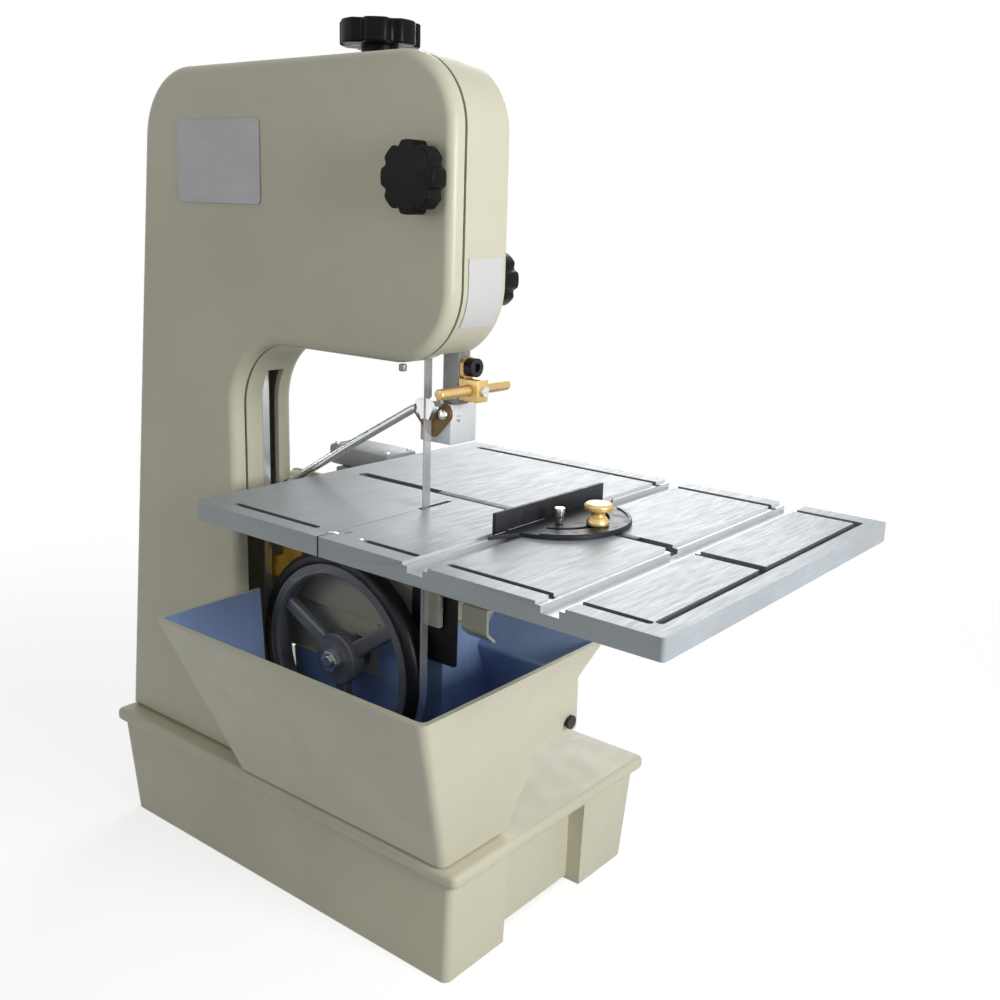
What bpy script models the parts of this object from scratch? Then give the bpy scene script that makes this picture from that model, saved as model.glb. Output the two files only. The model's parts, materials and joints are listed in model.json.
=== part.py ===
"""Bench-top band saw with a water tray: a cast C frame, two rubber-tyred wheels, a grooved table.

Units are metres.  +X runs from the column out along the arm, +Y runs from the cover to the rear and
+Z is up.  The origin lies on the floor, under the middle of the bounding box.
"""
import math

import bmesh
import bpy
from mathutils import Matrix, Vector

# ---- driving dimensions -------------------------------------------------------------------------
GAP = 0.0003                      # clearance between pieces that touch

TABLE_X = (-0.095, 0.305)
TABLE_Y = (-0.154, 0.166)
TABLE_TOP = 0.345
TABLE_THICK = 0.014
TABLE_LOW = TABLE_TOP - TABLE_THICK

WHEEL_X = -0.053                  # both wheels stand above each other
WHEEL_Y = -0.0465                 # middle plane of the wheels
LOWER_Z = 0.201
UPPER_Z = 0.557
TYRE_R = 0.0897
RIM_R = 0.0797
RIM_IN_R = 0.070
TYRE_HALF = 0.0085
RIM_HALF = 0.0078
HUB_R = 0.0215
HUB_Y = (-0.0545, -0.041)
SPOKE_ANGLES = (33, 153, 273)

BLADE_R = 0.0900                  # inner radius of the blade's bend
BLADE_THICK = 0.0005
BLADE_HALF = 0.004
BLADE_X = WHEEL_X + BLADE_R + BLADE_THICK / 2

BASE_TOP = 0.094
BASE_LIP_X = (-0.305, 0.119)
BASE_LIP_Y = (-0.099, 0.158)
BASE_LIP_LOW = 0.082
BASE_WALL_TOP = (-0.298, 0.112, -0.0955, 0.153)      # x0, x1, y0, y1 just under the lip
BASE_WALL_FOOT = (-0.280, 0.110, -0.0965, 0.143)    # the same at the floor
BASE_WALL = 0.005
RECESS_X = 0.096                  # back of the recess in the base, under the arm end
RECESS_Y = (-0.028, 0.076)

ARM_TOP = 0.659
ARM_UNDER = 0.455
ARM_END = 0.089
THROAT_X = -0.138
COLUMN_FOOT = BASE_TOP + 0.0005
BACK_FOOT_X = -0.301              # back edge of the column at its foot
BACK_SLOPE = 0.059 / 0.510        # the back edge leans towards +X going up
THROAT_R = 0.055
END_LOW_R = 0.054
END_TOP_R = 0.050
BACK_TOP_R = 0.055

FRAME_FRONT = -0.070
FRAME_REAR = -0.020
FRAME_WALL = 0.005
COVER_FRONT = -0.084
COVER_REAR = -0.072
COVER_WALL = 0.0025

LOWER_ARM_X = (-0.262, 0.037)
LOWER_ARM_Y = (-0.0255, 0.030)
LOWER_ARM_Z = (0.182, 0.316)
ARM_STEP_Z = 0.226                # underside of the arm on the far side of the bearing housing
HOUSING_X = (-0.0760, -0.0300)
HOUSING_Z = (0.1848, 0.232)
BEARING_R = 0.014
SHAFT_R = 0.0075
STUB_R = 0.005                    # threaded end of the shaft, in the hub nut
HUB_NUT = 0.016                   # across flats

SLIDE_HALF = 0.022                # half width and half height of the tension slide
SCREW_Y = -0.006                  # tension screw, behind the rear wall
LUG_Z = (0.596, 0.608)

POST_X = (0.044, 0.059)
POST_Y = (-0.0385, -0.0255)
POST_Z = (0.4233, 0.636)
GUIDE_BLOCK_Z = (0.393, 0.423)
PLATE_Y = -0.0417                 # front face of the heart-shaped guide plate
GUIDE_Y = -0.0387                 # front face of the guide block

COVER_KNOB = (0.066, 0.578)
LOCK_KNOB = (0.0515, 0.511)

MOTOR_X = -0.157
MOTOR_Z = 0.265
MOTOR_R = 0.055
PULLEY_Y = (0.0335, 0.0485)
DRIVEN_R = 0.036                  # belt pitch radii
DRIVER_R = 0.016
BELT_HALF = 0.003

TRAY_RIM_Z = 0.245
TRAY_FLOOR = 0.0955
TRAY_WALL = 0.002
TRAY_CORNER = 0.0065
TRAY_BACK = -0.0262               # the deep part ends in front of the lower arm
TRAY_STEP_X = 0.0385              # past the arm's end the tray runs on behind it
PLUG = (0.0213, 0.1782)

SLOT_Y = -0.0045                  # cross slot of the table, where the mitre bar slides
MITRE_X = 0.125                   # centre of the mitre head
GROOVES_X = (0.126, 0.230)

COLOURS = {
    "beige_paint": ((0.62, 0.585, 0.49), 0.35, 0.0),
    "cover_paint": ((0.62, 0.585, 0.49), 0.35, 0.0),
    "base_paint": ((0.60, 0.565, 0.47), 0.4, 0.0),
    "tray_paint": ((0.60, 0.57, 0.48), 0.4, 0.0),
    "table_metal": ((0.62, 0.66, 0.70), 0.35, 0.9),
    "cast_metal": ((0.42, 0.43, 0.44), 0.5, 0.8),
    "steel": ((0.55, 0.55, 0.56), 0.3, 1.0),
    "bright_steel": ((0.80, 0.80, 0.82), 0.15, 1.0),
    "dark_steel": ((0.10, 0.10, 0.11), 0.4, 0.8),
    "brass": ((0.72, 0.45, 0.18), 0.3, 1.0),
    "black_plastic": ((0.012, 0.012, 0.013), 0.2, 0.0),
    "black_paint": ((0.02, 0.02, 0.022), 0.35, 0.0),
    "rubber": ((0.02, 0.02, 0.02), 0.8, 0.0),
    "grey_paint": ((0.45, 0.47, 0.48), 0.4, 0.2),
    "yellow_plastic": ((0.65, 0.40, 0.03), 0.4, 0.0),
    "label_white": ((0.85, 0.85, 0.84), 0.5, 0.0),
}

AXES = {
    "X": Matrix.Rotation(math.radians(90), 4, "Y"),
    "Y": Matrix.Rotation(math.radians(-90), 4, "X"),
    "Z": Matrix.Identity(4),
}


# ---- scene and materials ------------------------------------------------------------------------
def clear_scene():
    for item in list(bpy.data.objects):
        bpy.data.objects.remove(item, do_unlink=True)


def new_collection(name):
    made = bpy.data.collections.new(name)
    bpy.context.scene.collection.children.link(made)
    return made


def material(key):
    found = bpy.data.materials.get(key)
    if found:
        return found
    colour, roughness, metallic = COLOURS[key]
    made = bpy.data.materials.new(key)
    made.use_nodes = True
    shader = made.node_tree.nodes["Principled BSDF"]
    shader.inputs["Base Color"].default_value = (*colour, 1.0)
    shader.inputs["Roughness"].default_value = roughness
    shader.inputs["Metallic"].default_value = metallic
    return made


clear_scene()
PARTS = new_collection("band_saw")
CUTTERS = new_collection("cutters")


# ---- building blocks ----------------------------------------------------------------------------
def add(name, mesh, collection):
    made = bpy.data.objects.new(name, mesh)
    collection.objects.link(made)
    return made


def mesh_of(bm, name):
    bmesh.ops.recalc_face_normals(bm, faces=bm.faces)
    mesh = bpy.data.meshes.new(name)
    bm.to_mesh(mesh)
    bm.free()
    return mesh


def box(low, high, name="box", round_edges=0.0, along=None, steps=1):
    """A box between two corners; edges along one axis, or all edges, can be rounded."""
    bm = bmesh.new()
    bmesh.ops.create_cube(bm, size=1.0)
    for vertex in bm.verts:
        for i in range(3):
            vertex.co[i] = (low[i] + high[i]) / 2 + vertex.co[i] * (high[i] - low[i])
    if round_edges:
        chosen = bm.edges[:]
        if along:
            axis = "XYZ".index(along)
            chosen = [e for e in bm.edges if abs((e.verts[0].co - e.verts[1].co)[axis]) > 1e-6]
        bmesh.ops.bevel(bm, geom=chosen, offset=round_edges, segments=steps, profile=0.5,
                        affect="EDGES", clamp_overlap=True)
    return add(name, mesh_of(bm, name), CUTTERS)


def frustum(low_rect, low_z, high_rect, high_z, name="frustum", corner=0.0):
    """A drafted box: rectangles (x0, x1, y0, y1) at two heights, with rounded upright corners."""
    bm = bmesh.new()
    bmesh.ops.create_cube(bm, size=1.0)
    for vertex in bm.verts:
        rect = high_rect if vertex.co.z > 0 else low_rect
        vertex.co.x = rect[1] if vertex.co.x > 0 else rect[0]
        vertex.co.y = rect[3] if vertex.co.y > 0 else rect[2]
        vertex.co.z = high_z if vertex.co.z > 0 else low_z
    if corner:
        upright = [e for e in bm.edges if abs(e.verts[0].co.z - e.verts[1].co.z) > 1e-6]
        bmesh.ops.bevel(bm, geom=upright, offset=corner, segments=4, profile=0.5, affect="EDGES")
    return add(name, mesh_of(bm, name), CUTTERS)


def cylinder(centre, axis, radius, length, name="cylinder", sides=32, radius_end=None):
    """A cylinder or cone whose middle is at centre, along a world axis."""
    bm = bmesh.new()
    bmesh.ops.create_cone(bm, cap_ends=True, cap_tris=False, segments=sides, radius1=radius,
                          radius2=radius if radius_end is None else radius_end, depth=length)
    bmesh.ops.transform(bm, matrix=Matrix.Translation(centre) @ AXES[axis], verts=bm.verts)
    return add(name, mesh_of(bm, name), CUTTERS)


def baked(item):
    """The evaluated shape of an object as a clean mesh of its own."""
    bpy.context.view_layer.update()
    evaluated = item.evaluated_get(bpy.context.evaluated_depsgraph_get())
    mesh = bpy.data.meshes.new_from_object(evaluated)
    bm = bmesh.new()
    bm.from_mesh(mesh)
    bmesh.ops.transform(bm, matrix=item.matrix_world, verts=bm.verts)
    bmesh.ops.remove_doubles(bm, verts=bm.verts, dist=1e-6)
    bmesh.ops.dissolve_limit(bm, angle_limit=math.radians(0.5), verts=bm.verts, edges=bm.edges)
    name = item.name
    bpy.data.objects.remove(item, do_unlink=True)
    return add(name, mesh_of(bm, name), CUTTERS)


def rounded(corners, steps=6):
    """Points of a polygon whose corners (x, y, radius) are replaced with arcs."""
    points = []
    count = len(corners)
    for i, (x, y, radius) in enumerate(corners):
        here = Vector((x, y))
        to_last = (Vector(corners[i - 1][:2]) - here).normalized()
        to_next = (Vector(corners[(i + 1) % count][:2]) - here).normalized()
        if radius <= 0:
            points.append(here)
            continue
        half = to_last.angle(to_next) / 2
        centre = here + (to_last + to_next).normalized() * (radius / math.sin(half))
        start = here + to_last * (radius / math.tan(half)) - centre
        turn = start.angle_signed(here + to_next * (radius / math.tan(half)) - centre)
        for k in range(steps + 1):
            points.append(centre + Matrix.Rotation(-turn * k / steps, 2) @ start)
    return points


def arc(centre, radius, start_deg, end_deg, steps=12):
    """Points on an arc about a centre."""
    points = []
    for k in range(steps + 1):
        angle = math.radians(start_deg + (end_deg - start_deg) * k / steps)
        points.append(Vector((centre[0] + radius * math.cos(angle),
                              centre[1] + radius * math.sin(angle))))
    return points


def plate(outlines, plane, low, high, name="plate"):
    """A flat outline (with holes after the first loop) given a thickness across its plane.

    Plane XZ takes (x, z) points and runs from low to high along Y; XY runs along Z; YZ along X.
    """
    curve = bpy.data.curves.new(name, "CURVE")
    curve.dimensions = "2D"
    curve.fill_mode = "BOTH"
    curve.extrude = (high - low) / 2
    for outline in outlines:
        spline = curve.splines.new("POLY")
        spline.points.add(len(outline) - 1)
        for slot, point in zip(spline.points, outline):
            slot.co = (point[0], point[1], 0.0, 1.0)
        spline.use_cyclic_u = True
    middle = (low + high) / 2
    made = add(name, curve, CUTTERS)
    if plane == "XZ":
        made.matrix_world = Matrix(((1, 0, 0, 0), (0, 0, -1, middle), (0, 1, 0, 0), (0, 0, 0, 1)))
    elif plane == "YZ":
        made.matrix_world = Matrix(((0, 0, 1, middle), (1, 0, 0, 0), (0, 1, 0, 0), (0, 0, 0, 1)))
    else:
        made.matrix_world = Matrix.Translation((0, 0, middle))
    return baked(made)


def turned(profile, centre, axis, name="turned", steps=48, closed=False):
    """A lathe shape: (radius, height) points turned about a world axis through a centre."""
    bm = bmesh.new()
    ring = [bm.verts.new((radius, 0.0, height)) for radius, height in profile]
    pairs = list(zip(ring, ring[1:]))
    if closed:
        pairs.append((ring[-1], ring[0]))
    for first, second in pairs:
        bm.edges.new((first, second))
    mesh = bpy.data.meshes.new(name)
    bm.to_mesh(mesh)
    bm.free()
    made = add(name, mesh, CUTTERS)
    screw = made.modifiers.new("Turn", "SCREW")
    screw.axis = "Z"
    screw.steps = steps
    screw.render_steps = steps
    screw.use_merge_vertices = True
    screw.merge_threshold = 0.00001
    made.matrix_world = Matrix.Translation(centre) @ AXES[axis]
    return baked(made)


def tube(points, radius, name="tube", sides=4):
    """A round bar along a list of points."""
    curve = bpy.data.curves.new(name, "CURVE")
    curve.dimensions = "3D"
    curve.bevel_depth = radius
    curve.bevel_resolution = sides
    curve.use_fill_caps = True
    spline = curve.splines.new("POLY")
    spline.points.add(len(points) - 1)
    for slot, point in zip(spline.points, points):
        slot.co = (*point, 1.0)
    return baked(add(name, curve, CUTTERS))


def combine(target, tools, operation):
    """Boolean each tool into the target; the tools stay behind as cutters."""
    for tool in tools:
        step = target.modifiers.new(operation.title(), "BOOLEAN")
        step.operation = operation
        step.object = tool
        tool.hide_render = True
        tool.display_type = "WIRE"
    return target


def cut(target, *tools):
    return combine(target, tools, "DIFFERENCE")


def join(target, *tools):
    return combine(target, tools, "UNION")


def soften(item, width, steps=2, angle=35):
    """Round the sharp edges of a shape."""
    bevel = item.modifiers.new("Bevel", "BEVEL")
    bevel.width = width
    bevel.segments = steps
    bevel.limit_method = "ANGLE"
    bevel.angle_limit = math.radians(angle)
    return item


def part(name, shape, key, origin=None):
    """Turn a shape into a named piece; a moving piece gets its origin on its joint's axis."""
    shape = baked(shape)
    shape.name = name
    shape.data.name = name
    CUTTERS.objects.unlink(shape)
    PARTS.objects.link(shape)
    if origin is not None:
        shape.data.transform(Matrix.Translation(-Vector(origin)))
        shape.location = origin
    shape.data.materials.append(material(key))
    shape.data.shade_smooth()
    shape.data.set_sharp_from_angle(angle=math.radians(32))
    return shape


def round_rim(item, y, radius, steps):
    """Round the edges of a shape that lie in one plane across Y."""
    bm = bmesh.new()
    bm.from_mesh(item.data)
    rim = [e for e in bm.edges if all(abs(v.co.y - y) < 1e-6 for v in e.verts)]
    bmesh.ops.bevel(bm, geom=rim, offset=radius, segments=steps, profile=0.5, affect="EDGES",
                    clamp_overlap=False)
    bm.to_mesh(item.data)
    bm.free()
    return item


def star_outline(centre, radius, lobes, depth, count=6):
    """A lobed knob outline: flat-topped lobes with narrow round flutes between them."""
    points = []
    total = lobes * count
    for k in range(total):
        angle = math.tau * k / total
        flute = max(0.0, -math.cos(lobes * angle)) ** 2
        reach = radius - depth * flute
        points.append((centre[0] + reach * math.cos(angle), centre[1] + reach * math.sin(angle)))
    return points


def hexagon(centre, across_flats):
    reach = across_flats / math.sqrt(3)
    return [(centre[0] + reach * math.cos(math.radians(60 * k)),
             centre[1] + reach * math.sin(math.radians(60 * k))) for k in range(6)]


# ---- base and tray ------------------------------------------------------------------------------
def grown(rect, by):
    return (rect[0] - by, rect[1] + by, rect[2] - by, rect[3] + by)


def build_base():
    lip_x, lip_y = BASE_LIP_X, BASE_LIP_Y
    shell = frustum(BASE_WALL_FOOT, 0.0, BASE_WALL_TOP, BASE_LIP_LOW + 0.002, "base_wall", 0.006)
    slab = box((lip_x[0], lip_y[0], BASE_LIP_LOW), (lip_x[1], lip_y[1], BASE_TOP), "base_lip",
               0.006, "Z", 4)
    slab = baked(soften(slab, 0.0045, 2))
    near, far = RECESS_Y
    recess = box((RECESS_X, near, -0.01), (0.125, far, BASE_LIP_LOW), "base_recess")
    recess_back = box((RECESS_X - BASE_WALL, near - BASE_WALL, -0.01), (0.125, far + BASE_WALL, 0.096),
                      "recess_back")
    hollow = frustum(grown(BASE_WALL_FOOT, -BASE_WALL), -0.002, grown(BASE_WALL_TOP, -BASE_WALL),
                     BASE_TOP - 0.007, "base_hollow", 0.004)
    hollow = baked(cut(hollow, recess_back))
    foot_gap = box((RECESS_X - 2 * BASE_WALL, near, -0.01), (0.125, far, 0.003), "base_foot_gap")
    shell = baked(cut(join(shell, slab), recess, hollow, foot_gap))
    pads = [box((x, y, 0.0), (x + 0.028, y + 0.028, 0.012), "foot_pad")
            for x in (-0.278, 0.078) for y in (-0.0945, 0.112)]
    return part("base_shell", join(shell, *pads), "base_paint")


def tray_profile(wall):
    """Side view (y, z) of the tray past the arm's end; wall is 0 outside, the thickness inside."""
    rim = TRAY_RIM_Z + 4 * wall
    return rounded([(-0.30, TRAY_FLOOR + wall, 0), (-0.0240 - wall / 2, TRAY_FLOOR + wall, 0.008),
                    (-0.0149 - wall, 0.1394, 0.006), (-0.0190 - wall, 0.1637 + wall, 0.002),
                    (0.0390 - 1.5 * wall, 0.1650 + wall, 0.003), (0.0161 - 1.2 * wall, 0.220, 0.004),
                    (0.0395 + 2.54 * wall, rim, 0), (-0.30, rim, 0)], 3)


def tray_solid(wall):
    """The tray's volume: sloping sides outside, then less the wall for its inside."""
    rim = TRAY_RIM_Z + 4 * wall
    sides = frustum(grown((-0.124, 0.105, -0.097, 0.2), -wall), TRAY_FLOOR - 0.002 + wall,
                    grown((-0.136, 0.145, -0.166, 0.2), -wall), rim, "tray_sides",
                    TRAY_CORNER - wall)
    deep = box((-0.2, -0.3, TRAY_FLOOR + wall), (0.1, TRAY_BACK - wall, rim), "tray_deep")
    rear = plate([tray_profile(wall)], "YZ", TRAY_STEP_X + wall, 0.2, "tray_rear")
    return baked(combine(sides, [baked(join(deep, rear))], "INTERSECT"))


def build_tray():
    wheel_gap = box((-0.150, -0.064, 0.140), (-0.105, -0.0290, 0.27), "tray_wheel_gap")
    arm_gap = box((-0.150, -0.0325, 0.1845), (HOUSING_X[1] + 0.001, -0.020, 0.27), "tray_arm_gap")
    step_gap = box((-0.080, -0.0325, 0.222), (TRAY_STEP_X, -0.020, 0.27), "tray_step_gap")
    drain = cylinder((0.125, *PLUG), "X", 0.0045, 0.03, "tray_drain", 16)
    tray = cut(tray_solid(0.0), tray_solid(TRAY_WALL), wheel_gap, arm_gap, step_gap, drain)
    return part("water_tray", tray, "tray_paint")


def build_drain_plug():
    shank = cylinder((0.12375, *PLUG), "X", 0.0042, 0.0115, "plug_shank", 16)
    head = cylinder((0.1303, *PLUG), "X", 0.0055, 0.0024, "plug_head", 20)
    return part("drain_plug", join(shank, head), "rubber")


# ---- frame and cover ----------------------------------------------------------------------------
def back_x(z):
    return BACK_FOOT_X + (z - COLUMN_FOOT) * BACK_SLOPE


def c_outline(inset=0.0, steps=8):
    """The side view of frame and cover: a column, an arm, and the throat between them."""
    foot = COLUMN_FOOT + inset
    top = ARM_TOP - inset
    lean = inset * math.sqrt(1 + BACK_SLOPE ** 2)
    return rounded([
        (back_x(foot) + lean, foot, 0),
        (THROAT_X - inset, foot, 0),
        (THROAT_X - inset, ARM_UNDER + inset, THROAT_R + inset),
        (ARM_END - inset, ARM_UNDER + inset, END_LOW_R - inset),
        (ARM_END - inset, top, END_TOP_R - inset),
        (back_x(top) + lean, top, BACK_TOP_R - inset),
    ], steps)


def build_frame():
    shell = plate([c_outline()], "XZ", FRAME_FRONT, FRAME_REAR, "frame_outer")
    shell = round_rim(shell, FRAME_REAR, 0.010, 3)
    pocket = plate([c_outline(FRAME_WALL)], "XZ", FRAME_FRONT - 0.01, FRAME_REAR - FRAME_WALL,
                   "frame_pocket")
    shell = baked(cut(shell, pocket))

    arm = box((LOWER_ARM_X[0], LOWER_ARM_Y[0], LOWER_ARM_Z[0]),
              (LOWER_ARM_X[1], LOWER_ARM_Y[1], LOWER_ARM_Z[1]), "lower_arm", 0.003, None, 2)
    arm_pocket = box((LOWER_ARM_X[0] + 0.006, LOWER_ARM_Y[0] + 0.006, 0.096),
                     (LOWER_ARM_X[1] - 0.006, LOWER_ARM_Y[1] - 0.006, 0.310), "lower_arm_pocket")
    arm_step = box((HOUSING_X[1], -0.04, 0.16), (LOWER_ARM_X[1] + 0.01, 0.04, ARM_STEP_Z), "arm_step")
    ledge = box((THROAT_X + 0.001, -0.0295, 0.231), (LOWER_ARM_X[1] - 0.001, -0.024, 0.310),
                "arm_ledge", 0.001)
    arm = baked(join(cut(arm, arm_pocket, arm_step), ledge))

    housing = box((HOUSING_X[0], -0.0274, HOUSING_Z[0]), (HOUSING_X[1], LOWER_ARM_Y[1], HOUSING_Z[1]),
                  "bearing_housing", 0.001)
    rails = [box((x0, -0.0215, 0.496), (x1, 0.001, 0.595), "slide_rail")
             for x0, x1 in ((WHEEL_X - 0.031, WHEEL_X - 0.0225), (WHEEL_X + 0.0225, WHEEL_X + 0.031))]
    lug = box((WHEEL_X - 0.031, -0.0215, LUG_Z[0] - 0.002), (WHEEL_X + 0.031, 0.011, LUG_Z[1]),
              "tension_lug", 0.002)
    knob_boss = cylinder((COVER_KNOB[0], -0.0520, COVER_KNOB[1]), "Y", 0.0050, 0.0580,
                         "cover_boss", 20)
    stops = [cylinder((x, -0.0520, z), "Y", 0.006, 0.0580, "cover_stop", 16)
             for x, z in ((-0.225, 0.596), (-0.275, 0.146))]
    shell = baked(join(shell, arm, housing, *rails, lug, knob_boss, *stops))

    window = box((WHEEL_X - 0.0225, -0.03, 0.501), (WHEEL_X + 0.0225, 0.002, 0.5935), "slide_window")
    screw_hole = cylinder((WHEEL_X, SCREW_Y, 0.602), "Z", 0.0045, 0.03, "screw_hole", 20)
    shaft_hole = cylinder((WHEEL_X, 0.0, LOWER_Z), "Y", 0.0125, 0.09, "shaft_hole", 32)
    seats = [cylinder((WHEEL_X, y, LOWER_Z), "Y", BEARING_R + GAP, 0.020, "bearing_seat", 32)
             for y in (-0.0274, 0.030)]
    wheel_slot = box((-0.160, -0.080, 0.1045), (-0.130, -0.0255, 0.295), "wheel_slot")
    blade_slot = box((-0.160, -0.0540, 0.290), (-0.130, -0.0370, 0.436), "column_blade_slot")
    arm_slot = box((0.028, -0.060, 0.446), (0.0605, -0.0250, 0.474), "arm_slot")
    stud_holes = [cylinder((knob[0], y, knob[1]), "Y", 0.0033, 0.024, "stud_hole", 14)
                  for knob, y in ((COVER_KNOB, -0.0700), (LOCK_KNOB, -0.0220))]
    pipe_hole = cylinder((-0.138, -0.0300, 0.329), "X", 0.0040, 0.02, "pipe_hole", 16)
    shell = baked(cut(shell, window, screw_hole, shaft_hole, *seats))
    shell = cut(shell, wheel_slot, blade_slot, arm_slot, *stud_holes, pipe_hole)
    return part("frame_casting", shell, "beige_paint")


def build_cover():
    shell = plate([c_outline()], "XZ", COVER_FRONT, COVER_REAR, "cover_outer")
    shell = round_rim(shell, COVER_FRONT, 0.007, 4)
    hollow = plate([c_outline(COVER_WALL + 0.0008)], "XZ", COVER_FRONT + COVER_WALL,
                   COVER_REAR + 0.01, "cover_hollow")
    hollow = round_rim(hollow, COVER_FRONT + COVER_WALL, 0.005, 2)
    hole = cylinder((COVER_KNOB[0], COVER_FRONT, COVER_KNOB[1]), "Y", 0.0035, 0.02, "cover_hole", 16)
    shell = cut(shell, hollow, hole)
    return part("front_cover", shell, "cover_paint")


def build_cover_trim():
    nameplate = box((-0.196, -0.0851, 0.558), (-0.098, COVER_FRONT - GAP, 0.619), "plate", 0.003, "Y")
    part("nameplate", nameplate, "bright_steel")
    centre = (ARM_END - END_LOW_R, ARM_UNDER + END_LOW_R)
    near = arc(centre, END_LOW_R + GAP, -30, 0, 6)
    far = arc(centre, END_LOW_R + 0.0008, -30, 0, 6)
    near.append(Vector((ARM_END + GAP, 0.528)))
    far.append(Vector((ARM_END + 0.0008, 0.528)))
    sticker = plate([near + far[::-1]], "XZ", -0.0660, -0.0310, "sticker")
    part("blank_label", sticker, "label_white")
    pin = cylinder((0.0430, -0.0790, 0.4522), "Z", 0.0028, 0.0050, "pin", 16)
    part("cover_pin", soften(pin, 0.0008), "bright_steel")


# ---- knobs --------------------------------------------------------------------------------------
def star_knob(centre, axis, radius, thick, lobes, name):
    """A lobed moulding that is `thick` long, from `centre` out along the axis (may be negative)."""
    outline = star_outline((0, 0), radius, lobes, radius * 0.13)
    disc = plate([outline], "XY", min(0, thick), max(0, thick), name)
    disc.matrix_world = Matrix.Translation(centre) @ AXES[axis]
    return baked(soften(baked(disc), 0.0022, 1))


def build_cover_knob():
    x, z = COVER_KNOB
    knob = star_knob((x, -0.089, z), "Y", 0.0232, -0.0135, 8, "cover_knob_disc")
    neck = cylinder((x, -0.0871, z), "Y", 0.009, 0.0052, "cover_knob_neck", 24)
    stud = cylinder((x, -0.0765, z), "Y", 0.0030, 0.026, "cover_knob_stud", 12)
    return part("cover_knob", join(knob, neck, stud), "black_plastic", (x, -0.089, z))


def build_lock_knob():
    x, z = LOCK_KNOB
    knob = star_knob((x, -0.008, z), "Y", 0.0210, 0.019, 7, "lock_knob_disc")
    neck = cylinder((x, -0.0135, z), "Y", 0.008, 0.0120, "lock_knob_neck", 24)
    stud = cylinder((x, -0.0170, z), "Y", 0.0030, 0.0160, "lock_knob_stud", 12)
    return part("post_lock_knob", join(knob, neck, stud), "black_plastic", (x, -0.008, z))


def build_tension_knob():
    knob = star_knob((WHEEL_X, SCREW_Y, 0.674), "Z", 0.0300, 0.0170, 7, "tension_disc")
    hub = cylinder((WHEEL_X, SCREW_Y, 0.668), "Z", 0.014, 0.016, "tension_hub", 32)
    collar = cylinder((WHEEL_X, SCREW_Y, 0.654), "Z", 0.0098, 0.016, "tension_collar", 24)
    screw = cylinder((WHEEL_X, SCREW_Y, 0.613), "Z", 0.0040, 0.100, "tension_screw", 16)
    return part("tension_knob", join(knob, hub, collar, screw), "black_plastic",
                (WHEEL_X, SCREW_Y, 0.674))


# ---- wheels and their axles ---------------------------------------------------------------------
def wheel(name, z, bore, origin):
    profile = [(RIM_IN_R, -RIM_HALF), (RIM_IN_R, RIM_HALF), (RIM_R, RIM_HALF), (RIM_R, -RIM_HALF)]
    rim = turned(profile, (WHEEL_X, WHEEL_Y, z), "Y", name + "_rim", 48, True)
    hub = cylinder((WHEEL_X, sum(HUB_Y) / 2, z), "Y", HUB_R, HUB_Y[1] - HUB_Y[0], name + "_hub")
    spokes = []
    for angle in SPOKE_ANGLES:
        spoke = box((HUB_R - 0.006, -0.004, -0.0065), (RIM_IN_R + 0.003, 0.004, 0.0065), "spoke",
                    0.0015, "X", 1)
        turn = Matrix.Rotation(math.radians(-angle), 4, "Y")
        spoke.data.transform(Matrix.Translation((WHEEL_X, WHEEL_Y + 0.001, z)) @ turn)
        spokes.append(spoke)
    hole = cylinder((WHEEL_X, WHEEL_Y, z), "Y", bore, 0.08, name + "_bore", 32)
    return part(name, cut(join(rim, hub, *spokes), hole), "cast_metal", origin)


def tyre(name, z, origin):
    crown = [(RIM_R + GAP, -TYRE_HALF), (RIM_R + GAP, TYRE_HALF), (0.0860, TYRE_HALF),
             (TYRE_R, 0.0052), (TYRE_R, -0.0052), (0.0860, -TYRE_HALF)]
    ring = turned(crown, (WHEEL_X, WHEEL_Y, z), "Y", name, 48, True)
    return part(name, ring, "rubber", origin)


def ring(name, y0, y1, z, outer, inner, key, sides=32, origin=None):
    body = cylinder((WHEEL_X, (y0 + y1) / 2, z), "Y", outer, y1 - y0, name + "_body", sides)
    hole = cylinder((WHEEL_X, (y0 + y1) / 2, z), "Y", inner, 0.05, name + "_hole", sides)
    return part(name, cut(body, hole), key, origin)


def hex_nut(name, y0, y1, z, across, bore, origin=None):
    body = plate([hexagon((WHEEL_X, z), across)], "XZ", y0, y1, name + "_hex")
    hole = cylinder((WHEEL_X, (y0 + y1) / 2, z), "Y", bore, 0.03, name + "_hole", 20)
    return part(name, cut(body, hole), "bright_steel", origin)


def build_lower_wheel():
    axis_point = (WHEEL_X, WHEEL_Y, LOWER_Z)
    wheel("lower_wheel", LOWER_Z, SHAFT_R + GAP, axis_point)
    tyre("lower_tyre", LOWER_Z, axis_point)
    shaft = cylinder((WHEEL_X, -0.0024, LOWER_Z), "Y", SHAFT_R, 0.1038, "shaft", 32)
    stub = cylinder((WHEEL_X, -0.0590, LOWER_Z), "Y", STUB_R, 0.010, "shaft_stub", 20)
    part("lower_shaft", join(shaft, stub), "steel", axis_point)
    hex_nut("lower_hub_nut", -0.0615, HUB_Y[0] - GAP, LOWER_Z, HUB_NUT, STUB_R + GAP, axis_point)
    ring("lower_bearing_front", -0.0272, -0.0180, LOWER_Z, BEARING_R, SHAFT_R + GAP, "steel")
    ring("lower_bearing_rear", 0.0205, 0.0297, LOWER_Z, BEARING_R, SHAFT_R + GAP, "steel")


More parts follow.
